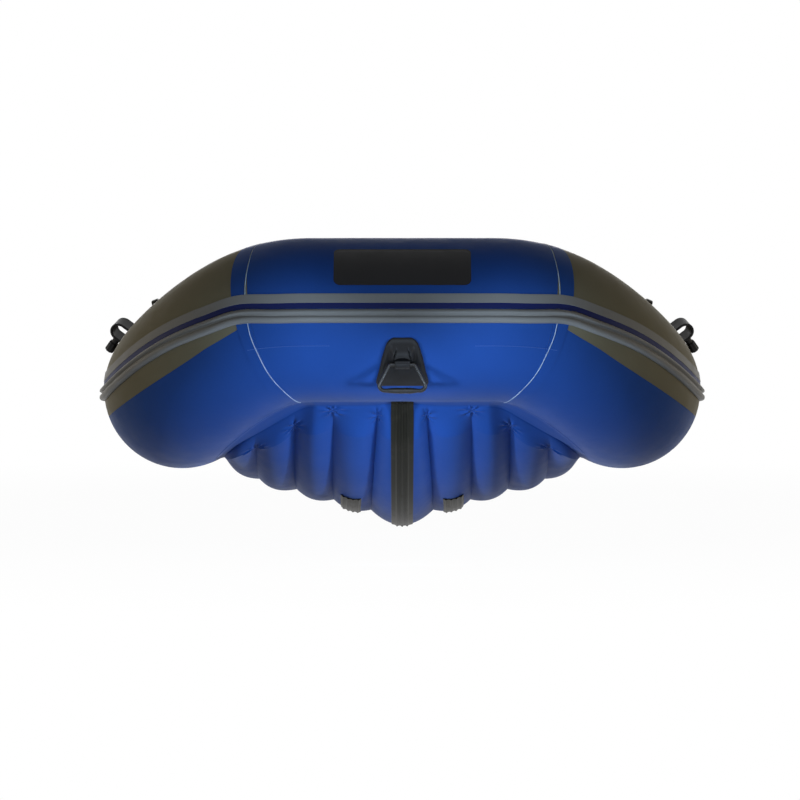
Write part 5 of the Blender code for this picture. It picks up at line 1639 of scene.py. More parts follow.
@dataclass
class Runners:
    """The keel guard and the skids, ribbed along their length."""

    shop: Workshop
    floor: AirFloor
    guard_t: float = 0.0010
    guard_rib: float = 0.0032
    guard_rib_at: float = 0.0134
    guard_start: float = -83.0
    skid_t: float = 0.0020
    skid_rib: float = 0.0025
    skid_start: float = 0.52
    skid_length: float = 0.760
    rib_half: float = 0.0045
    edge_w: float = 0.0012
    edge_drop: float = 0.0008
    corner: float = 0.008
    skid_ribs: tuple[float, ...] = (-0.72, -0.24, 0.24, 0.72)

    def ribbed(self, half: float, ribs: Sequence[float], t: float, rib: float) -> Outline:
        """A ribbed strip's top side as (distance from its middle, height) points.

        Args:
            half: Half the strip's width.
            ribs: The ribs' distances from its middle.
            t: The strip's thickness.
            rib: A rib's height over the strip.

        Returns:
            The points from one edge to the other.
        """
        places = {-half, -half + self.edge_w, half - self.edge_w, half}
        for at in ribs:
            places |= {at + self.rib_half * k / 4 for k in range(-4, 5)}
        points = []
        for x in sorted(places):
            lift = sum(
                math.cos((x - at) / self.rib_half * math.pi / 2) ** 2
                for at in ribs
                if abs(x - at) < self.rib_half
            )
            edge = self.edge_drop if abs(abs(x) - half) < 1e-9 else 0.0
            points.append((x, t - edge + rib * lift))
        return points

    def under(self, x: float, share: float, height: float) -> Vector:
        """A point that far below the bottom skin, on either side."""
        floor = self.floor
        return floor.lifted(x, share, floor.fabric / 2 + floor.under_seat + height)

    def across(self, outline: Outline, share: float, lift: float = 0.0) -> list[Vector]:
        """A ring of (distance, height) points under the bottom skin, lowered by a lift."""
        return [self.under(x, share, up + lift) for x, up in outline]

    def build(self) -> None:
        """Add the guard and the two skids."""
        worn = self.shop.wardrobe
        half = self.floor.keel_half / 3
        places = [self.guard_rib_at * k for k in (-1, 0, 1)]
        section = self.ribbed(half, places, self.guard_t, self.guard_rib)
        outline = section + [(half * (1 - i / 4), 0.0) for i in range(9)]
        rings = []
        for i in range(5):
            turn = math.radians(90 * i / 4)
            narrow = 1 - self.corner * (1 - math.sin(turn)) / half
            back = self.corner * (1 - math.cos(turn))
            angle = self.guard_start - math.degrees(back / HULL.tube_r)
            thin = 0.6 + 0.1 * i
            rings.append([HULL.at(x * narrow, angle, SEAT + up * thin) for x, up in outline])
        shares = [0.07 + 0.93 * (i / 34) ** 1.2 for i in range(35)] + [1.25, 1.5, 1.75, 2.0]
        first = self.across(outline, 0.026, 0.0012)
        for t in (0.25, 0.5, 0.75):
            rings.append([a.lerp(b, t) for a, b in zip(rings[4], first)])
        rings.append(first)
        for share, lift in ((0.034, 0.0012), (0.040, 0.0009), (0.052, 0.0003)):
            rings.append(self.across(outline, share, lift))
        rings += [self.across(outline, v) for v in shares]
        outfit = Outfit(worn.rubber, "black_pvc", replaces=("keel_guard",))
        self.shop.add("keel_guard_strip", loft("keel_guard", rings), outfit)

        left = self.floor.valleys[0]
        width = self.floor.lobe_w
        low, high = left + width / 4, left + width * 3 / 4
        middle, half = (low + high) / 2, (high - low) / 2
        ribs = [half * place for place in self.skid_ribs]
        section = self.ribbed(half, ribs, self.skid_t, self.skid_rib)
        outline = section + [(half * (1 - i / 4), 0.0) for i in range(9)]
        front = self.floor.chord(middle, self.skid_start).y
        ramp_end = HULL.bow_y + self.floor.ramp_length
        aft = self.floor.chord(middle, self.floor.aft).y
        last = 1 + (front + self.skid_length - ramp_end) / (aft - ramp_end)
        shares = between(self.skid_start, 1.0, 0.02) + between(1.0, last, 0.12)[1:]
        rings = [self.across([(middle + x, up) for x, up in outline], v) for v in shares]
        outfit = Outfit(worn.rubber, "black_pvc", replaces=("skid_{side}",))
        self.shop.pair("skid_strip", loft("skid", rings), outfit)


# The bow handle


@dataclass
class BowHandle:
    """A moulded pad with a tongue over its hub, and a hinged ring."""

    shop: Workshop
    top: float = -11.7
    low: float = -50.8
    low_w: float = 0.132
    plate: float = 0.006
    pivot: float = -29.1
    pivot_up: float = 0.016
    hub_w: float = 0.036
    hub_r: float = 0.0105
    tongue_end: float = 0.31
    tongue_up: float = 0.0155
    ring_top_w: float = 0.066
    ring_low_w: float = 0.116
    ring_length: float = 0.066
    ring_corner: float = 0.014
    bar_r: float = 0.0050
    bore_r: float = 0.0056
    grip_r: float = 0.0075
    hub_edge: float = 0.0015
    bolt_x: float = 0.0085

    def half_width(self, v: float) -> float:
        """Half the pad's width, from its top (0) to its foot (1)."""
        shares = [
            (0.0, 0.334), (0.015, 0.42), (0.05, 0.515), (0.10, 0.600), (0.20, 0.677), (0.37, 0.782),
            (0.64, 0.892), (0.82, 0.973), (0.90, 1.0), (0.955, 0.973), (0.985, 0.916), (1.0, 0.86)
        ]
        return self.low_w / 2 * through(shares, v)

    def height(self, x: float, v: float, half: float) -> float:
        """The pad's height over the tube.

        Args:
            x: The distance from its middle.
            v: The place from its top (0) to its foot (1).
            half: Half its width there.

        Returns:
            The height.
        """
        run = math.radians(self.top - self.low) * HULL.tube_r
        near = abs(x)
        edge = min(half - near, v * run, (1 - v) * run)
        plate = self.plate * (0.55 + 0.45 * step(edge, 0.0, 0.0035))
        dome = 0.0022 * step(v, 0.02, 0.14) * (1 - step(v, 0.20, 0.42))
        rail = 0.0036 * math.exp(-(((near - 0.84 * half) / (0.11 * half)) ** 2))
        rail *= step(v, 0.14, 0.40) * (1 - step(v, 0.90, 1.0))
        ledge = self.tongue_end + 0.09 * min((near / 0.030) ** 2, 1.0)
        side = 0.0125 + 0.0095 * step(v, 0.12, 0.42)
        hood = self.tongue_up * step(v, 0.05, self.tongue_end) ** 1.1
        hood *= (1 - step(near, 0.021, 0.034)) * (1 - step(v, ledge, ledge + 0.010))
        slit = 0.0060 * math.exp(-(((near - side - 0.0014) / 0.0013) ** 2))
        slit *= step(v, 0.13, 0.26) * (1 - step(v, ledge, ledge + 0.01))
        return max(plate + dome + rail + hood - slit, 0.0012)

    def base(self) -> Mesh:
        """The pad, its hub block and the two bolt heads."""
        columns, rows, crowding = 84, 120, 0.985
        quarter = math.pi / 2
        widest = math.sin(quarter * crowding)
        grid = []
        for r in range(rows + 1):
            v = r / rows
            angle = self.top + (self.low - self.top) * v
            half = self.half_width(v)
            line = []
            for c in range(columns + 1):
                x = half * math.sin(quarter * (2 * c / columns - 1) * crowding) / widest
                line.append(HULL.at(x, angle, SEAT + self.height(x, v, half)))
            grid.append(line)
        top = skin("handle_top", grid, lambda point: Vector((0, -1, -0.5)))
        with editing(top) as bm:
            rim = [edge for edge in bm.edges if edge.is_boundary]
            made = bmesh.ops.extrude_edge_only(bm, edges=rim)
            for vert in [item for item in made["geom"] if isinstance(item, bmesh.types.BMVert)]:
                here = HULL.station(vert.co.x).point
                away = (vert.co - here).normalized()
                vert.co = here + away * (HULL.tube_r + SEAT)
        centre = HULL.at(0.0, self.pivot, self.pivot_up)
        across = frame_matrix(centre, Vector((0, 0, 1)), Vector((1, 0, 0)))
        meshes = [top]
        half, edge = self.hub_w / 2, self.hub_edge
        barrel = [
            (self.bore_r, -half), (self.hub_r - edge, -half), (self.hub_r, -half + edge),
            (self.hub_r, half - edge), (self.hub_r - edge, half), (self.bore_r, half)
        ]
        meshes.append(placed(turned("handle_hub", barrel, 40, loop=True), across))
        outward = HULL.normal(0.0, self.pivot)
        down = Vector((0, 0, -1)) - outward * Vector((0, 0, -1)).dot(outward)
        outline = [
            centre + down.normalized() * y + outward * (z - 0.0085)
            for y, z in rounded_box(0.0120, 0.0150, 0.0035)
        ]
        bore = [centre + (point - centre).normalized() * self.bore_r for point in outline]
        side = Vector((half + 0.0012, 0, 0))
        rings = [
            [point - side for point in bore],
            [point.lerp(centre, 0.10) - side for point in outline],
            [point - side * 0.9 for point in outline], [point + side * 0.9 for point in outline],
            [point.lerp(centre, 0.10) + side for point in outline], [point + side for point in bore]
        ]
        meshes.append(loft("hub_block", rings, True))
        for x in (-self.bolt_x, self.bolt_x):
            head = turned("bolt", [(0.0, 0.0018), (0.0016, 0.0014), (0.0022, 0.0), (0.0, 0.0)], 16)
            spot = centre + Vector((x, 0, 0)) + outward * 0.0064 + down.normalized() * 0.0062
            meshes.append(placed(head, frame_matrix(spot, Vector((1, 0, 0)), outward)))
        return joined("bow_handle_pad", meshes)

    def ring(self) -> Mesh:
        """The ring: a bar through the hub, two legs and a thicker grip."""
        centre = HULL.at(0.0, self.pivot, self.pivot_up)
        bottom_x = self.ring_low_w / 2 - self.ring_corner
        top_x = self.ring_top_w / 2
        right: list[tuple[float, float, float]] = [(0.0, 0.0, 1.0), (self.hub_w / 2, 0.0, 1.0)]
        right += [(x, z, 1.0) for x, z in arc((top_x - 0.006, -0.0075), 0.0075, 90, 18, 8)]
        corner = arc(
            (bottom_x, -self.ring_length + self.ring_corner), self.ring_corner, 14, -84, 12
        )
        right += [(x, z, 1.0) for x, z in corner]
        ratio = self.grip_r / self.bar_r
        for i in range(1, 9):
            share = i / 8
            swell = 1 + (ratio - 1) * step(share, 0.0, 0.6)
            right.append((bottom_x * (1 - share), -self.ring_length, swell))
        left = [(-x, z, thick) for x, z, thick in reversed(right[1:-1])]
        loop = right + left
        points = [centre + Vector((x, 0, z)) for x, z, _ in loop]
        radii = [self.bar_r * thick for _, _, thick in loop]
        return rod("bow_handle_ring", points, radii, 20, loop=True)

    def build(self) -> None:
        """Add the pad and the ring."""
        worn = self.shop.wardrobe
        outfit = Outfit(worn.plastic, "black_pvc", replaces=("bow_handle_base",), sharp=40.0)
        self.shop.add("bow_handle_pad", self.base(), outfit)
        outfit = Outfit(worn.gloss, "black_plastic", "bow_ring", ("bow_handle_ring",), sharp=60.0)
        self.shop.add("bow_handle_loop", self.ring(), outfit)


# Rowlocks


@dataclass
class Rowlocks:
    """Round pads, hooded yokes and fluted knobs."""

    shop: Workshop
    from_bow: float = 1.22
    angle: float = 36.5
    turn: float = 24.0
    pad_r: float = 0.050
    pad_t: float = 0.005
    boss_r: float = 0.024
    boss_h: float = 0.014
    pin_r: float = 0.008
    foot_r: float = 0.030
    foot_t: float = 0.008
    half_w: float = 0.026
    height: float = 0.066
    shell: float = 0.0075
    length: float = 0.052
    arm_r: float = 0.010
    arm: float = 0.016
    arm_x: float = 0.012
    arm_up: float = 0.034
    knob_r: float = 0.0140
    knob_l: float = 0.031
    shank_r: float = 0.005
    shank: float = 0.012

    @property
    def run(self) -> float:
        """The run of the rowlocks along the tube."""
        return HULL.run_at(-HULL.length / 2 + self.from_bow)

    @property
    def yoke_place(self) -> Matrix:
        """The yoke's foot on its boss, turned as in the photograph."""
        place = HULL.frame(self.run, self.angle, SEAT + self.boss_h + GAP)
        return place @ Matrix.Rotation(math.radians(180 + self.turn), 4, "Z")

    @property
    def sideways(self) -> Matrix:
        """The arm's placement on the yoke."""
        origin = Vector((self.arm_x, 0, self.arm_up))
        return frame_matrix(origin, Vector((1, 0, 0)), Vector((0, 1, 0)))

    def pad(self) -> Mesh:
        """The welded pad, which follows the tube, with its boss."""
        rings = []
        profile = [
            (self.boss_r, 0.0135), (self.boss_r + 0.004, 0.0062), (self.boss_r + 0.007, self.pad_t),
            (self.pad_r - 0.006, self.pad_t - 0.0004), (self.pad_r - 0.0015, self.pad_t - 0.0016),
            (self.pad_r, 0.0012), (self.pad_r, 0.0)
        ]
        for radius, up in profile:
            ring = []
            for t in turns(72):
                angle = self.angle + math.degrees(radius * math.sin(t) / HULL.tube_r)
                ring.append(HULL.at(self.run + radius * math.cos(t), angle, SEAT + up))
            rings.append(ring)
        place = HULL.frame(self.run, self.angle, SEAT)
        bore = self.pin_r + GAP
        lips = ((bore, 0.003), (bore, self.boss_h), (self.boss_r - 0.0012, self.boss_h))
        inner = [[place @ polar(radius, -t, up) for t in turns(72)] for radius, up in lips]
        return loft("rowlock_pad", inner + rings)

    def yoke(self) -> Mesh:
        """The hooded arch on its round foot, with lips, pin and arm."""
        top = self.height - self.half_w
        middle = self.half_w - self.shell / 2
        leg = [(middle, self.foot_t * 0.5), (middle, top * 0.5)]
        path = leg + arc((0, top), middle, 0, 180, 40) + [(-y, z) for y, z in reversed(leg)]
        half_l, half_t = self.length / 2, self.shell / 2
        soft = 0.0012
        side, lip_x, lip_y = half_t - soft, half_l - 0.006, half_t - 0.0004
        half = [
            (half_l, -side), (half_l, side), (half_l - soft, half_t), (lip_x, lip_y),
            (-lip_x, lip_y), (soft - half_l, half_t)
        ]
        section = half + [(-a, -b) for a, b in half]
        rings = []
        for i, (y, z) in enumerate(path):
            before, after = path[max(i - 1, 0)], path[min(i + 1, len(path) - 1)]
            tangent = Vector((0, after[0] - before[0], after[1] - before[1])).normalized()
            out = Vector((1, 0, 0)).cross(tangent)
            rings.append([Vector((a, y, z)) - out * b for a, b in section])
        meshes = [loft("yoke_arch", rings)]
        foot = [
            (0.0, 0.0), (self.foot_r - 0.001, 0.0), (self.foot_r, 0.001),
            (self.foot_r, self.foot_t - 0.002), (self.foot_r - 0.002, self.foot_t),
            (0.0, self.foot_t)
        ]
        meshes.append(turned("yoke_foot", foot))
        low = 0.0045 - self.boss_h
        pin = [(0.0, low), (self.pin_r, low), (self.pin_r, 0.003), (0.0, 0.003)]
        meshes.append(turned("yoke_pin", pin, 32))
        end = self.half_w + self.arm
        bore = self.shank_r + GAP
        arm = [
            (0.0, self.half_w - 0.004), (self.arm_r, self.half_w - 0.004),
            (self.arm_r, end - 0.0012), (self.arm_r - 0.0012, end), (bore, end),
            (bore, end - self.shank - 0.001), (0.0, end - self.shank - 0.001)
        ]
        meshes.append(placed(turned("yoke_arm", arm, 40), self.sideways))
        return joined("rowlock_yoke", meshes)

    def knob(self) -> Mesh:
        """The fluted knob on its shank."""
        rings = []
        flutes, flute_depth = 8, 0.0013
        for z, share in (
            (0.0, 0.80), (0.0, 0.92), (0.0015, 1.0), (self.knob_l - 0.0035, 1.0),
            (self.knob_l - 0.0012, 0.93), (self.knob_l, 0.78), (self.knob_l, 0.35),
            (self.knob_l - 0.0008, 0.30)
        ):
            ring = []
            for t in turns(96):
                wave = flute_depth * (0.5 + 0.5 * math.cos(flutes * t)) * step(share, 0.5, 1.0)
                ring.append(polar(self.knob_r * share - wave, t, z))
            rings.append(ring)
        grip = loft("knob", rings)
        low = -self.shank
        shank = [(0.0, low), (self.shank_r, low), (self.shank_r, 0.002), (0.0, 0.002)]
        return joined("rowlock_knob", [grip, turned("knob_shank", shank, 32)])

    def build(self) -> None:
        """Add both rowlocks."""
        worn = self.shop.wardrobe
        end = self.half_w + self.arm + GAP
        place = self.yoke_place @ self.sideways @ Matrix.Translation((0, 0, end))
        for name, mesh, body, node, sharp in (
            ("pad", self.pad(), "hull", "base", 32.0),
            ("hood", placed(self.yoke(), self.yoke_place), "yoke_{side}", "yoke", 38.0),
            ("grip", placed(self.knob(), place), "knob_{side}", "knob", 38.0),
        ):
            nodes = (f"rowlock_{node}_{{side}}",)
            outfit = Outfit(worn.plastic, "black_plastic", body, nodes, sharp=sharp)
            self.shop.pair(f"rowlock_{name}", mesh, outfit)


# Carrying grips


@dataclass
class CarryGrips:
    """Arched rubber grips with flat welded feet."""

    shop: Workshop
    from_bow: float = 1.00
    angle: float = 67.5
    length: float = 0.190
    foot: float = 0.038
    rise: float = 0.050
    width: float = 0.028
    thick: float = 0.005

    def build(self) -> None:
        """Add both grips."""
        half = self.length / 2
        foot = half - self.foot
        path = [
            (half, self.thick * 0.42), (half - 0.004, self.thick / 2),
            (foot + 0.006, self.thick / 2), (foot + 0.001, self.thick * 0.7),
            (foot - 0.005, 0.22 * self.rise), (foot - 0.010, 0.45 * self.rise),
            (foot - 0.016, 0.72 * self.rise), (foot - 0.024, 0.90 * self.rise),
            (foot - 0.036, self.rise - self.thick / 2)
        ]
        full = path + [(-x, z) for x, z in reversed(path)]
        ways = [list(enumerate(way)) for way in zip(*full)]
        fine = [tuple(through(way, t) for way in ways) for t in between(0, len(full) - 1, 0.25)]
        section = rounded_box(self.width / 2, self.thick / 2, self.thick * 0.45, 4)
        rings = []
        for i, (x, z) in enumerate(fine):
            before, after = fine[max(i - 1, 0)], fine[min(i + 1, len(fine) - 1)]
            tangent = Vector((after[0] - before[0], 0, after[1] - before[1])).normalized()
            out = tangent.cross(Vector((0, 1, 0)))
            lift = abs(x) < foot
            round_grip = 1 - step(abs(x), foot - 0.045, foot - 0.010)
            wide = 1 + (0.10 if lift else 0.35) - 0.25 * round_grip
            deep = 1 + 1.1 * round_grip
            rings.append([Vector((x, a * wide / 1.35, z)) + out * (b * deep) for a, b in section])
        mesh = loft("carrying_grip", rings)
        run = HULL.run_at(-HULL.length / 2 + self.from_bow)
        worn = self.shop.wardrobe
        outfit = Outfit(worn.rubber, "black_pvc", replaces=("carrying_grip_{side}",), sharp=45.0)
        self.shop.pair("carrying_strap", placed(mesh, HULL.frame(run, self.angle, 0.0)), outfit)


# Benches and tracks


@dataclass
class Seating:
    """Slotted tracks, beaded sliders and plywood benches with their screws."""

    shop: Workshop
    scatter: ScatterTree
    angle: float = 125.0
    start: float = 1.05
    end: float = 2.52
    bead_r: float = 0.0095
    bore_r: float = 0.0060
    slot: float = 0.0050
    wing: float = 0.026
    wing_t: float = 0.0018
    slider_bead_r: float = 0.0050
    stem_t: float = 0.0030
    flange_w: float = 0.046
    flange_t: float = 0.004
    slider_up: float = 0.0125
    slider_l: float = 0.160
    bench_w: float = 0.200
    bench_t: float = 0.012
    overhang: float = 0.030
    corner: float = 0.030
    screw_x: float = 0.012
    screw_y: float = 0.06
    benches: tuple[tuple[str, float], ...] = (("rower", 1.78), ("stern", 2.28))

    @property
    def bead(self) -> Vector:
        """The channel's centre on the port side."""
        return HULL.at(HULL.s_side, self.angle, SEAT + self.wing_t + self.bore_r)

    def track(self) -> Mesh:
        """One slotted channel with its welded wings."""
        up = 180 - self.angle
        half_slot = math.degrees(math.asin(self.slot / 2 / self.bore_r))
        outer_slot = math.degrees(math.asin(self.slot / 2 / self.bead_r))
        height = self.wing_t + self.bore_r
        spread = math.degrees(self.wing / HULL.tube_r)
        base: Outline = []
        wing: Outline = []
        for i in range(9):
            a = math.radians(90 - spread * (1 - i / 4))
            r = HULL.tube_r
            base.append((r * math.cos(a), r * math.sin(a) - r))
            rise = r + self.wing_t * (0.35 if i in (0, 8) else 1.0)
            wing.append((rise * math.cos(a), rise * math.sin(a) - r))
        outline = base + [wing[8], wing[7], wing[6]]
        outline += reversed(arc((0, height), self.bead_r, up + outer_slot, 205, 14))
        outline += arc((0, height), self.bore_r, up + half_slot, 360 + up - half_slot, 28)
        outline += reversed(arc((0, height), self.bead_r, -25, up - outer_slot, 8))
        outline += [wing[2], wing[1], wing[0]]
        middle = -HULL.length / 2 + (self.start + self.end) / 2
        a = math.radians(self.angle)
        along_tube = Vector((math.sin(a), 0, -math.cos(a)))
        origin = HULL.at(HULL.run_at(middle), self.angle, SEAT)
        place = frame_matrix(origin, along_tube, Vector((0, -1, 0)))
        return placed(prism("seat_track", outline, self.end - self.start), place)

    def slider(self, y: float) -> Mesh:
        """One beaded slider under a bench."""
        stem = self.stem_t / 2
        gap = math.degrees(math.asin(stem / self.slider_bead_r))
        flange = self.flange_w / 2
        outline = arc((0, 0), self.slider_bead_r, 90 + gap, 450 - gap, 24)
        outline += [
            (stem, self.slider_up), (flange, self.slider_up),
            (flange, self.slider_up + self.flange_t), (-flange, self.slider_up + self.flange_t),
            (-flange, self.slider_up), (-stem, self.slider_up)
        ]
        origin = Vector((self.bead.x, y, self.bead.z))
        place = frame_matrix(origin, Vector((1, 0, 0)), Vector((0, -1, 0)))
        return placed(prism("slider", outline, self.slider_l), place)

    def board(self, name: str, y: float) -> Mesh:
        """A bench's board, its edges in the plies' material."""
        worn = self.shop.wardrobe
        outline = rounded_box(self.bead.x + self.overhang, self.bench_w / 2, self.corner, 12)
        mesh = prism(name, outline, self.bench_t)
        level = self.bead.z + self.slider_up + self.flange_t + GAP + self.bench_t / 2
        return edged(moved(mesh, 0, y, level), worn.veneer, worn.bench_edge, 2, 0.5)

    def build(self) -> None:
        """Add tracks, benches, sliders and screws."""
        worn = self.shop.wardrobe
        outfit = Outfit(worn.rubber, "black_pvc", replaces=("seat_track_{side}",), sharp=30.0)
        self.shop.pair("bench_track", self.track(), outfit)
        head = turned(
            "screw",
            [(0.0, 0.0012), (0.0028, 0.0012), (0.0044, 0.0006), (0.0050, 0.0), (0.0, -0.0008)], 20
        )
        top = self.bead.z + self.slider_up + self.flange_t + GAP + self.bench_t
        for name, from_bow in self.benches:
            y = -HULL.length / 2 + from_bow
            body = f"{name}_seat"
            outfit = Outfit(
                worn.veneer, "plywood", body, (f"{name}_bench",), rounding=0.0022, sharp=40.0
            )
            self.shop.add(f"{name}_board", self.board(name, y), outfit)
            outfit = Outfit(
                worn.plastic, "black_plastic", body, (name + "_slider_{side}",), rounding=0.0006
            )
            self.shop.pair(f"{name}_bead_slider", self.slider(y), outfit)
            spots = []
            for x in (self.bead.x - self.screw_x, self.bead.x + self.screw_x):
                for dy in (-self.screw_y, 0.0, self.screw_y):
                    for sign in (1, -1):
                        spot = Vector((sign * x, y + dy, top))
                        spots.append((spot, Vector((0, 0, 1)), Vector((1, 0, 0))))
            screws = self.scatter.run(f"{name}_screws", spots, head.copy(), worn.steel)
            self.shop.add(
                f"{name}_screws", screws, Outfit(worn.steel, "black_plastic", body, sharp=50.0)
            )


# Transom


@dataclass
class Transom:
    """The board, its welded holders, the motor pad and the drain."""

    shop: Workshop
    floor: AirFloor
    scatter: ScatterTree
    thick: float = 0.024
    top: float = 0.165
    half_top: float = 0.345
    corner: float = 0.050
    base_w: float = 0.105
    base_t: float = 0.003
    wall_t: float = 0.005
    wall_h: float = 0.030
    holder_top: float = 165.0
    holder_low: float = 202.0
    board_low: float = 236.0
    pad_half: float = 0.130
    pad_t: float = 0.004
    pad_aft: float = 0.185
    pad_forward: float = 0.110
    pad_corner: float = 0.018
    drain_x: float = 0.130
    drain_up: float = 0.045
    bore_r: float = 0.012
    drain_wall: float = 0.0045
    flange_r: float = 0.030
    flange_t: float = 0.004
    drain_out: float = 0.006
    plug_r: float = 0.021
    plug_t: float = 0.008
    plug_shank: float = 0.012
    plug_bar: float = 0.007
    screw_ring: float = 0.0255

    def raked(self, mesh: Mesh) -> Mesh:
        """Lean a mesh aft with height."""
        lean = Matrix.Identity(4)
        tangent = math.tan(math.radians(self.floor.rake))
        lean[1][2] = tangent
        lean[1][3] = -HULL.side_z * tangent
        return placed(mesh, lean)

    def outline(self) -> Outline:
        """The board's whole outline as (x, z) points."""
        top = HULL.side_z + self.top
        corner = (self.half_top - self.corner, top - self.corner)
        points = list(reversed(arc(corner, self.corner, 0, 90, 12)))
        rim = HULL.tube_r + SEAT + self.base_t + GAP
        for angle in between(self.holder_top, self.board_low, 3.0):
            a = math.radians(angle)
            points.append((HULL.side_x + rim * math.cos(a), HULL.side_z + rim * math.sin(a)))
        edge, outer, fifths = self.floor.edge.x, self.floor.valleys[-1], (0.8, 0.6, 0.4, 0.2)
        lows = [outer + (edge - outer) * share for share in fifths]
        for valley in reversed(self.floor.valleys[:-1]):
            lows += [valley + self.floor.lobe_w * share for share in (0.75, 0.5, 0.25)]
        lows += [self.floor.keel_half * share for share in (*fifths, 0.0)]
        points += [self.low_point(x) for x in lows]
        return points + [(-x, z) for x, z in reversed(points[:-1])]

    def low_point(self, x: float) -> tuple[float, float]:
        """The board's lower edge, on the bottom skin."""
        point = self.floor.bottom(x, self.floor.aft)
        return point.x, point.z

    def board(self) -> Mesh:
        """The board, its edges in the plies' material."""
        worn = self.shop.wardrobe
        mesh = prism("transom", self.outline(), self.thick)
        mesh.transform(Matrix.Rotation(math.pi / 2, 4, "X"))
        mesh = self.raked(moved(mesh, 0, HULL.transom_y + self.thick / 2, 0))
        return edged(mesh, worn.veneer, worn.board_edge, 1, 0.9)

    def holder(self) -> Mesh:
        """A welded foot with two walls that grip the board's edge."""
        slot = self.thick / 2 + GAP
        outer = slot + self.wall_t
        foot = self.base_w / 2
        half = [
            (foot, 0.3 * self.base_t), (foot - 0.003, 0.6 * self.base_t),
            (outer + 0.004, self.base_t), (outer, self.base_t + 0.004),
            (outer - 0.001, self.wall_h - 0.0015), (outer - 0.0025, self.wall_h),
            (slot, self.wall_h), (slot, self.base_t)
        ]
        section = [(-foot, 0.0), (foot, 0.0), *half, *[(-y, up) for y, up in reversed(half)]]
        middle = HULL.transom_y + self.thick / 2
        rings = [
            [HULL.at(HULL.run_at(middle + y), angle, SEAT + up) for y, up in section]
            for angle in between(self.holder_top, self.holder_low, 2.0)
        ]
        return self.raked(loft("transom_holder", rings))

    def motor_pad(self) -> Mesh:
        """The moulded saddle over the board's top edge, ribbed on its aft face."""
        rings = []
        inner = self.thick / 2 + GAP
        outer = inner + self.pad_t
        soft = 0.0016
        for x in between(-self.pad_half, self.pad_half, 0.004):
            from_end = self.pad_half - abs(x)
            cut = 0.0
            if from_end < self.pad_corner:
                cut = self.pad_corner - math.sqrt(
                    max(self.pad_corner**2 - (self.pad_corner - from_end) ** 2, 0.0)
                )
            aft, fore = -self.pad_aft + cut, -self.pad_forward + cut
            top = self.pad_t - min(cut, self.pad_t * 0.9)
            edge = min(1.0, from_end / 0.002)
            lift = outer - 0.0012 * (1 - edge)
            section = [
                (lift, aft), (lift, top - soft), (lift - soft, top), (-lift + soft, top),
                (-lift, top - soft), (-lift, fore), (-inner, fore),
                (-inner, min(0.0, top - 0.0004)), (inner, min(0.0, top - 0.0004)), (inner, aft)
            ]
            rings.append([Vector((x, y, z)) for y, z in section])
        level = HULL.side_z + self.top + GAP
        middle = HULL.transom_y + self.thick / 2
        return self.raked(moved(loft("motor_pad", rings), 0, middle, level))

    def drain_place(self) -> Matrix:
        """The drain's placement on the board's forward face."""
        rake = math.radians(self.floor.rake)
        height = HULL.side_z - self.floor.top_drop + self.drain_up
        normal = Vector((0, -math.cos(rake), math.sin(rake)))
        origin = Vector((self.drain_x, self.floor.transom_face(height), height))
        return frame_matrix(origin, Vector((1, 0, 0)), normal)

    def build(self) -> None:
        """Add the board and everything on it."""
        worn = self.shop.wardrobe
        outfit = Outfit(
            worn.veneer, "plywood", replaces=("transom_board",), rounding=0.0024, sharp=40.0
        )
        self.shop.add("transom_plate", self.board(), outfit)
        outfit = Outfit(worn.rubber, "black_pvc", replaces=("transom_holder_{side}",))
        self.shop.pair("transom_clamp", self.holder(), outfit)
        outfit = Outfit(worn.plastic, "black_pvc", replaces=("motor_pad",), sharp=40.0)
        self.shop.add("motor_saddle", self.motor_pad(), outfit)
        place = self.drain_place()
        rake = math.radians(self.floor.rake)
        end = -self.thick * math.cos(rake) - self.drain_out
        sleeve = self.bore_r + self.drain_wall
        profile = [
            (self.bore_r, GAP + self.flange_t), (self.flange_r - 0.0022, GAP + self.flange_t),
            (self.flange_r - 0.0006, GAP + self.flange_t - 0.0012), (self.flange_r, GAP),
            (sleeve, GAP), (sleeve, end + 0.0008), (sleeve - 0.0008, end), (self.bore_r, end)
        ]
        socket = placed(turned("drain_socket", profile, 56, loop=True), place)
        outfit = Outfit(worn.plastic, "black_plastic", replaces=("drain_socket",))
        self.shop.add("drain_sleeve", socket, outfit)
        seat = 2 * GAP + self.flange_t
        shank = self.bore_r - GAP
        profile = [
            (0.0, seat + self.plug_t), (self.plug_r - 0.003, seat + self.plug_t),
            (self.plug_r - 0.0008, seat + self.plug_t - 0.001),
            (self.plug_r, seat + self.plug_t - 0.003), (self.plug_r, seat), (shank, seat),
            (shank, -self.plug_shank), (0.0, -self.plug_shank)
        ]
        outline = rounded_box(0.85 * self.plug_r, 0.003, 0.0028)
        level = seat + self.plug_t + self.plug_bar / 2 - 0.001
        bar = moved(prism("plug_bar", outline, self.plug_bar + 0.002), 0, 0, level)
        plug = joined("drain_plug", [turned("plug", profile, 56), bar])
        outfit = Outfit(worn.plastic, "black_plastic", "plug", ("drain_plug",), rounding=0.0004)
        self.shop.add("drain_stopper", placed(plug, place), outfit)
        head = turned("screw", [(0.0, 0.0013), (0.0022, 0.0010), (0.0034, 0.0), (0.0, 0.0)], 16)
        spots = []
        for i in range(4):
            t = math.radians(45 + 90 * i)
            foot = polar(self.screw_ring, t, GAP + self.flange_t)
            spots.append((place @ foot, place.to_3x3() @ Vector((0, 0, 1)), Vector((1, 0, 0))))
        screws = self.scatter.run("drain_screws", spots, head, worn.steel, 0.9)
        self.shop.add("drain_screws", screws, Outfit(worn.steel, "black_plastic", sharp=50.0))


# Valves


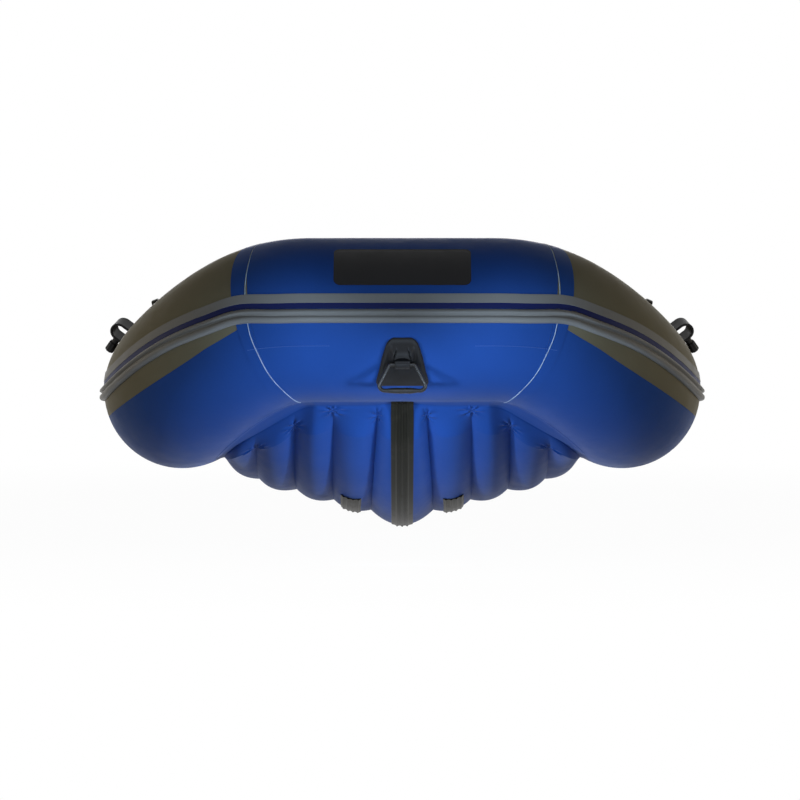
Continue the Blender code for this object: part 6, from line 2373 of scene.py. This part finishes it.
def valve_places() -> dict[str, Matrix]:
    """The placement of each chamber's valve, Z out of the fabric."""
    angle, from_stern, floor_from_stern = 135.0, 0.615, 0.700
    a = math.radians(angle)
    bow_normal = Vector((0, -math.cos(a), math.sin(a)))
    side_run = HULL.run_at(HULL.length / 2 - from_stern)
    port = HULL.frame(side_run, angle, SEAT)
    turn = Matrix.Scale(-1, 4, Vector((0, 1, 0)))
    crest = HULL.side_z - AirFloor.top_drop + AirFloor.top_sag + SEAT
    floor_point = Vector((0, HULL.length / 2 - floor_from_stern, crest))
    return {
        "bow": frame_matrix(HULL.at(0, angle, SEAT), Vector((1, 0, 0)), bow_normal), "port": port,
        "starboard": FLIP @ port @ turn,
        "floor": frame_matrix(floor_point, Vector((0, 1, 0)), Vector((0, 0, 1)))
    }


VALVES = valve_places()


@dataclass
class Valves:
    """Valve bodies with their bayonet rims, and ribbed caps on hinges."""

    shop: Workshop
    flange_r: float = 0.0305
    flange_t: float = 0.0030
    rim_r: float = 0.0235
    rim_h: float = 0.0060
    sleeve_r: float = 0.0218
    depth: float = 0.010
    bore_r: float = 0.0168
    seat_r: float = 0.0130
    seat_t: float = 0.0025
    bar_w: float = 0.0040
    hub_r: float = 0.0048
    stem_r: float = 0.0026
    cap_r: float = 0.0260
    cap_skirt: float = 0.0017
    cap_top: float = 0.0120
    cap_rib: float = 0.0040
    spigot: float = 0.0022
    hinge_x: float = 0.0300
    notch: float = 0.0005
    notches: int = 36

    def body(self) -> Mesh:
        """The flange, rim and sleeve, with the bridge that guides the stem."""
        under, ledge = -self.depth, self.seat_t - self.depth
        profile = [
            (self.bore_r, self.rim_h), (self.rim_r - 0.0008, self.rim_h),
            (self.rim_r, self.rim_h - 0.0008), (self.rim_r, self.flange_t),
            (self.flange_r - 0.0016, self.flange_t), (self.flange_r, self.flange_t - 0.0014),
            (self.flange_r, 0.0), (self.sleeve_r, 0.0), (self.sleeve_r, under),
            (self.seat_r, under), (self.seat_r, ledge), (self.bore_r, ledge)
        ]
        ring = turned("valve_body", profile, 64, loop=True)
        reach = self.seat_r + 0.001
        bar = prism("bridge", rounded_box(reach, self.bar_w / 2, 0.0008, 3), self.seat_t - 0.0004)
        bar = moved(bar, 0, 0, (under + ledge) / 2)
        bore = self.stem_r + GAP
        hub = [
            (bore, under + 0.0001), (self.hub_r, under + 0.0001), (self.hub_r, ledge + 0.003),
            (bore, ledge + 0.003)
        ]
        return joined("valve_body", [ring, bar, turned("hub", hub, 24, loop=True)])

    def cap(self) -> Mesh:
        """The cap with its finger rib, milled edge and hinge tab."""
        skirt = self.flange_t + 2 * GAP
        roof = self.rim_h + GAP
        inner = self.bore_r - 0.001
        rows = [
            (0.0, self.cap_top, 0.0), (self.cap_r - 0.0045, self.cap_top, 0.0),
            (self.cap_r - 0.0026, self.cap_top - 0.0006, 0.2),
            (self.cap_r - 0.0008, self.cap_top - 0.0026, 1.0), (self.cap_r, skirt + 0.0006, 1.0),
            (self.cap_r - 0.0004, skirt, 1.0), (self.cap_r - self.cap_skirt, skirt, 0.0),
            (self.cap_r - self.cap_skirt, roof, 0.0), (inner, roof, 0.0),
            (inner, roof - self.spigot, 0.0), (0.0, roof - self.spigot, 0.0)
        ]
        rings = []
        for radius, z, milled in rows:
            ring = []
            for t in turns(144):
                reach = radius - self.notch * milled * (0.5 + 0.5 * math.cos(self.notches * t))
                ring.append(polar(reach, t, z))
            rings.append(ring)
        disc = loft("cap", rings)
        rib = prism("rib", rounded_box(0.018, 0.002, 0.0018), self.cap_rib + 0.001)
        rib = moved(rib, 0, 0, self.cap_top + self.cap_rib / 2 - 0.0005)
        middle = (self.cap_r - 0.0015 + self.hinge_x) / 2
        half = (self.hinge_x - self.cap_r + 0.0015) / 2
        tab = prism("tab", rounded_box(half, 0.005, 0.0012), 0.0025)
        tab = moved(tab, middle, 0, skirt + 0.00125)
        return joined("valve_cap", [disc, rib, tab])

    def build(self) -> None:
        """Add the four valves' bodies and caps."""
        worn = self.shop.wardrobe
        for name, place in VALVES.items():
            for own, mesh, body, node in (
                ("socket", self.body(), "hull", "body"), ("lid", self.cap(), f"{name}_cap", "cap")
            ):
                nodes = (f"{name}_valve_{node}",)
                outfit = Outfit(worn.plastic, "black_plastic", body, nodes, sharp=35.0)
                self.shop.add(f"{name}_valve_{own}", placed(mesh, place), outfit)


# The plain patch


@dataclass
class BowPatch:
    """A plain welded patch of dark fabric on the bow, with nothing on it."""

    shop: Workshop
    half_x: float = 0.173
    low: float = 25.0
    high: float = 58.5
    corner: float = 0.016
    lift: float = 0.0009
    rim: float = 0.0045

    def build(self) -> None:
        """Add the patch."""
        worn = self.shop.wardrobe
        middle = (self.low + self.high) / 2
        half_v = math.radians(self.high - self.low) / 2 * HULL.tube_r
        rings = []
        for inset, up in (
            (0.0, 0.0002), (0.0004, self.lift), (self.rim, self.lift),
            (self.rim + 0.0012, self.lift - 0.0003), (self.rim + 0.0024, self.lift),
            (0.012, self.lift)
        ):
            corner = max(self.corner - inset, 0.002)
            flat = rounded_box(self.half_x - inset, half_v - inset, corner, 10)
            rings.append(self.lying(flat, middle, up))
        for share in (0.85, 0.7, 0.55, 0.4, 0.25, 0.1, 0.01):
            scaled = [(x * share, y * share) for x, y in flat]
            rings.append(self.lying(scaled, middle, self.lift))
        mesh = loft("bow_patch", rings)
        self.shop.add("bow_patch", mesh, Outfit(worn.patch, "black_pvc", sharp=30.0))

    def lying(self, flat: Outline, middle: float, up: float) -> list[Vector]:
        """An outline laid on the bow tube round its middle angle."""
        return [
            HULL.at(x, middle + math.degrees(y / HULL.tube_r), up) for x, y in self.refined(flat)
        ]

    def refined(self, outline: Outline) -> Outline:
        """The outline with its long straights split, so that it follows the tube."""
        result: Outline = []
        corner = len(outline) // 4
        for i, ((ax, ay), (bx, by)) in enumerate(zip(outline, outline[1:] + outline[:1])):
            count = 12 if i % corner == corner - 1 else 1
            wx, wy = bx - ax, by - ay
            result += [(ax + wx * k / count, ay + wy * k / count) for k in range(count)]
        return result


# Light and camera


@dataclass
class Studio:
    """A pale floor, soft lamps and the photograph's camera."""

    distance: float = 8.5
    camera_up: float = 0.069
    focal_px: float = 3312.0
    picture: float = 800.0
    centre_px: float = 402.3
    horizon_px: float = 293.0
    sensor: float = 36.0
    floor_half: float = 14.0
    cross_places: tuple[Place, ...] = (
        (1.30, -3.10, 0.05), (1.62, -3.02, 0.26), (1.85, -2.80, 0.05), (1.50, -2.75, 0.16)
    )
    cross_power: float = 47.0
    cross_reach: float = 2.6
    cross_size: float = 0.09
    floor_level: float = -0.0006
    boat_reach: tuple[float, float] = (1.4, 3.2)

    def camera(self) -> None:
        """Place the camera as fitted to the photograph."""
        data = bpy.data.cameras.new("camera")
        data.sensor_width = self.sensor
        data.lens = self.focal_px / self.picture * self.sensor
        data.clip_end = 100.0
        camera = new_object("camera", data)
        middle = self.picture / 2
        x = -(self.centre_px - middle) / self.focal_px * self.distance
        bow_z = HULL.side_z + HULL.sheer
        camera.location = (x, HULL.bow_y - self.distance, bow_z + self.camera_up)
        pitch = math.atan((middle - self.horizon_px) / self.focal_px)
        camera.rotation_euler = (math.pi / 2 - pitch, 0.0, 0.0)
        bpy.context.scene.camera = camera

    @staticmethod
    def seen(graph: Graph) -> Socket:
        """1 for rays that show the background: camera, glossy and transmission."""
        path = graph.add("ShaderNodeLightPath")
        shiny = graph.math(
            "MAXIMUM", path.outputs["Is Glossy Ray"], path.outputs["Is Transmission Ray"]
        )
        return graph.math("MAXIMUM", path.outputs["Is Camera Ray"], shiny)

    def floor(self) -> None:
        """A pale floor that turns white away from the boat."""
        half = self.floor_half
        mesh = bpy.data.meshes.new("studio floor")
        level = self.floor_level
        signs = ((-1, -1), (1, -1), (1, 1), (-1, 1))
        mesh.from_pydata([(x * half, y * half, level) for x, y in signs], [], [(0, 1, 2, 3)])
        material, graph = blank_material("pale floor", (0.8, 0.8, 0.8))
        place = graph.add("ShaderNodeTexCoord").outputs["Object"]
        away = graph.add("ShaderNodeVectorMath", {0: place}, operation="LENGTH")
        far = graph.ramp(away.outputs["Value"], *self.boat_reach)
        grain = graph.noise(place, 60.0, 3.0)
        pale = graph.blend(grain, (0.78, 0.78, 0.78, 1), (0.82, 0.82, 0.82, 1))
        matt = graph.add("ShaderNodeBsdfDiffuse", {"Color": pale})
        white = graph.add("ShaderNodeEmission", {"Color": (1, 1, 1, 1), "Strength": 1.0})
        share = graph.ramp(far, 0.0, 1.0, 0.975, 1.0)
        shown = graph.math("MULTIPLY", self.seen(graph), share)
        mixed = graph.add(
            "ShaderNodeMixShader", {0: shown, 1: matt.outputs[0], 2: white.outputs[0]}
        )
        graph.add("ShaderNodeOutputMaterial", {"Surface": mixed.outputs[0]})
        mesh.materials.append(material)
        new_object("studio_floor", mesh)

    def world(self) -> None:
        """White where it is seen, and a low even light on everything else."""
        world = bpy.data.worlds.new("studio")
        bpy.context.scene.world = world
        world.use_nodes = True
        world.node_tree.nodes.clear()
        graph = Graph(world.node_tree)
        way = graph.add("ShaderNodeTexCoord").outputs["Generated"]
        height = graph.add("ShaderNodeSeparateXYZ", {0: way}).outputs["Z"]
        level = graph.ramp(height, -0.2, 0.7, 0.08, 0.03)
        glow = {"Color": (1, 0.93, 0.82, 1), "Strength": level}
        light = graph.add("ShaderNodeBackground", glow)
        white = graph.add("ShaderNodeBackground", {"Color": (1, 1, 1, 1), "Strength": 1.0})
        mixed = graph.add(
            "ShaderNodeMixShader", {0: self.seen(graph), 1: light.outputs[0], 2: white.outputs[0]}
        )
        graph.add("ShaderNodeOutputWorld", {"Surface": mixed.outputs[0]})

    def lamp(
        self, name: str, place: Place, target: Place, size: tuple[float, float], power: float,
        colour: Colour = (1.0, 1.0, 1.0)
    ) -> None:
        """A soft rectangular lamp.

        Args:
            name: The lamp's name.
            place: Its centre.
            target: The point that it faces.
            size: Its width and height.
            power: Its power in watts.
            colour: Its colour.
        """
        data = bpy.data.lights.new(name, "AREA")
        data.shape = "RECTANGLE"
        data.size, data.size_y = size
        data.energy = power
        data.color = colour
        lamp = new_object(name, data)
        lamp.location = place
        lamp.rotation_mode = "QUATERNION"
        lamp.rotation_quaternion = (Vector(target) - Vector(place)).to_track_quat("-Z", "Y")
        lamp.visible_camera = False

    def crossing_lamp(self, name: str, place: Place, power: float, colour: Colour) -> None:
        """A low lamp whose light falls only on the boat's half beyond the stem.

        Args:
            name: The lamp's name.
            place: Its centre.
            power: Its power in watts.
            colour: Its colour.
        """
        data = bpy.data.lights.new(name, "POINT")
        data.shadow_soft_size = self.cross_size
        data.energy = power
        data.use_nodes = True
        data.node_tree.nodes.clear()
        graph = Graph(data.node_tree)
        at = Vector(place)
        aside = -math.copysign(1.0, at.x)
        stem_top = Vector((aside * 0.01, -1.38, 0.37))
        stem_low = Vector((aside * 0.05, -0.80, 0.06))
        across = (stem_top - at).cross(stem_low - at).normalized()
        if across.x * at.x > 0:
            across = -across
        soft = 0.006
        way = graph.add("ShaderNodeTexCoord").outputs["Normal"]
        off = graph.add("ShaderNodeVectorMath", {0: way, 1: tuple(across)}, operation="DOT_PRODUCT")
        beyond = graph.add(
            "ShaderNodeMapRange", {0: off.outputs["Value"], 1: -soft, 2: soft, 3: 0.0, 4: 1.0},
            interpolation_type="SMOOTHSTEP"
        )
        height = graph.add("ShaderNodeSeparateXYZ", {0: way}).outputs["Z"]
        lowest = -at.z / self.cross_reach
        level = graph.ramp(height, lowest - 0.03, lowest - 0.005)
        share = graph.math("MULTIPLY", beyond.outputs[0], level)
        glow = graph.add("ShaderNodeEmission", {"Color": (*colour, 1), "Strength": share})
        graph.add("ShaderNodeOutputLight", {"Surface": glow.outputs[0]})
        lamp = new_object(name, data)
        lamp.location = at
        lamp.visible_camera = False

    def build(self) -> None:
        """Set the stage."""
        self.camera()
        self.floor()
        self.world()
        cool, warm = (0.76, 0.96, 1.20), (1.0, 0.84, 0.58)
        self.lamp("bow_key", (0.0, -2.6, 0.45), (0.0, -1.5, 0.45), (0.7, 0.2), 3.3, cool)
        self.lamp("low_key", (0.0, -2.0, 0.05), (0.0, -1.2, 0.28), (0.30, 0.10), 0.3, cool)
        self.lamp("stern_fill", (0.0, 5.0, 1.6), (0.0, 1.0, 0.3), (4.0, 2.0), 60.0)
        for side in Side:
            for number, (x, y, z) in enumerate(self.cross_places):
                place = (x * side.value, y, z)
                self.crossing_lamp(f"{side.word}_cross_{number}", place, self.cross_power, cool)
            x = 4.6 * side.value
            self.lamp(f"{side.word}_fill", (x, -0.9, 0.6), (0.0, -0.2, 0.3), (3.0, 0.8), 24.0, warm)
        bpy.context.scene.view_settings.view_transform = "Standard"


def dress_carried(wardrobe: Wardrobe) -> None:
    """Give the nodes that stay their procedural finish.

    Args:
        wardrobe: The boat's finishes.
    """
    finishes = {"bulkhead": wardrobe.inner, "poppet": wardrobe.plastic}
    for name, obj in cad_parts.items():
        for key, material in finishes.items():
            if key in name:
                obj.data.materials.clear()
                obj.data.materials.append(material)
                LOG.info("%s keeps its shape in %s", name, material.name)


def main() -> None:
    """Dress the boat and set the stage."""
    logging.basicConfig(level=logging.INFO, format="%(name)s %(message)s")
    Studio().build()
    wardrobe = Wardrobe()
    shop = Workshop(wardrobe)
    sweep, scatter = SweepTree(), ScatterTree()
    floor = AirFloor(shop)
    parts = (
        HullFabric(shop, sweep), Strips(shop, sweep), floor, Runners(shop, floor), BowHandle(shop),
        Rowlocks(shop), CarryGrips(shop), Seating(shop, scatter), Transom(shop, floor, scatter),
        Valves(shop), BowPatch(shop)
    )
    for part in parts:
        part.build()
        LOG.info("%s built", type(part).__name__)
    dress_carried(wardrobe)
    LOG.info("%d pieces", shop.count)


if __name__ == "__main__":
    main()
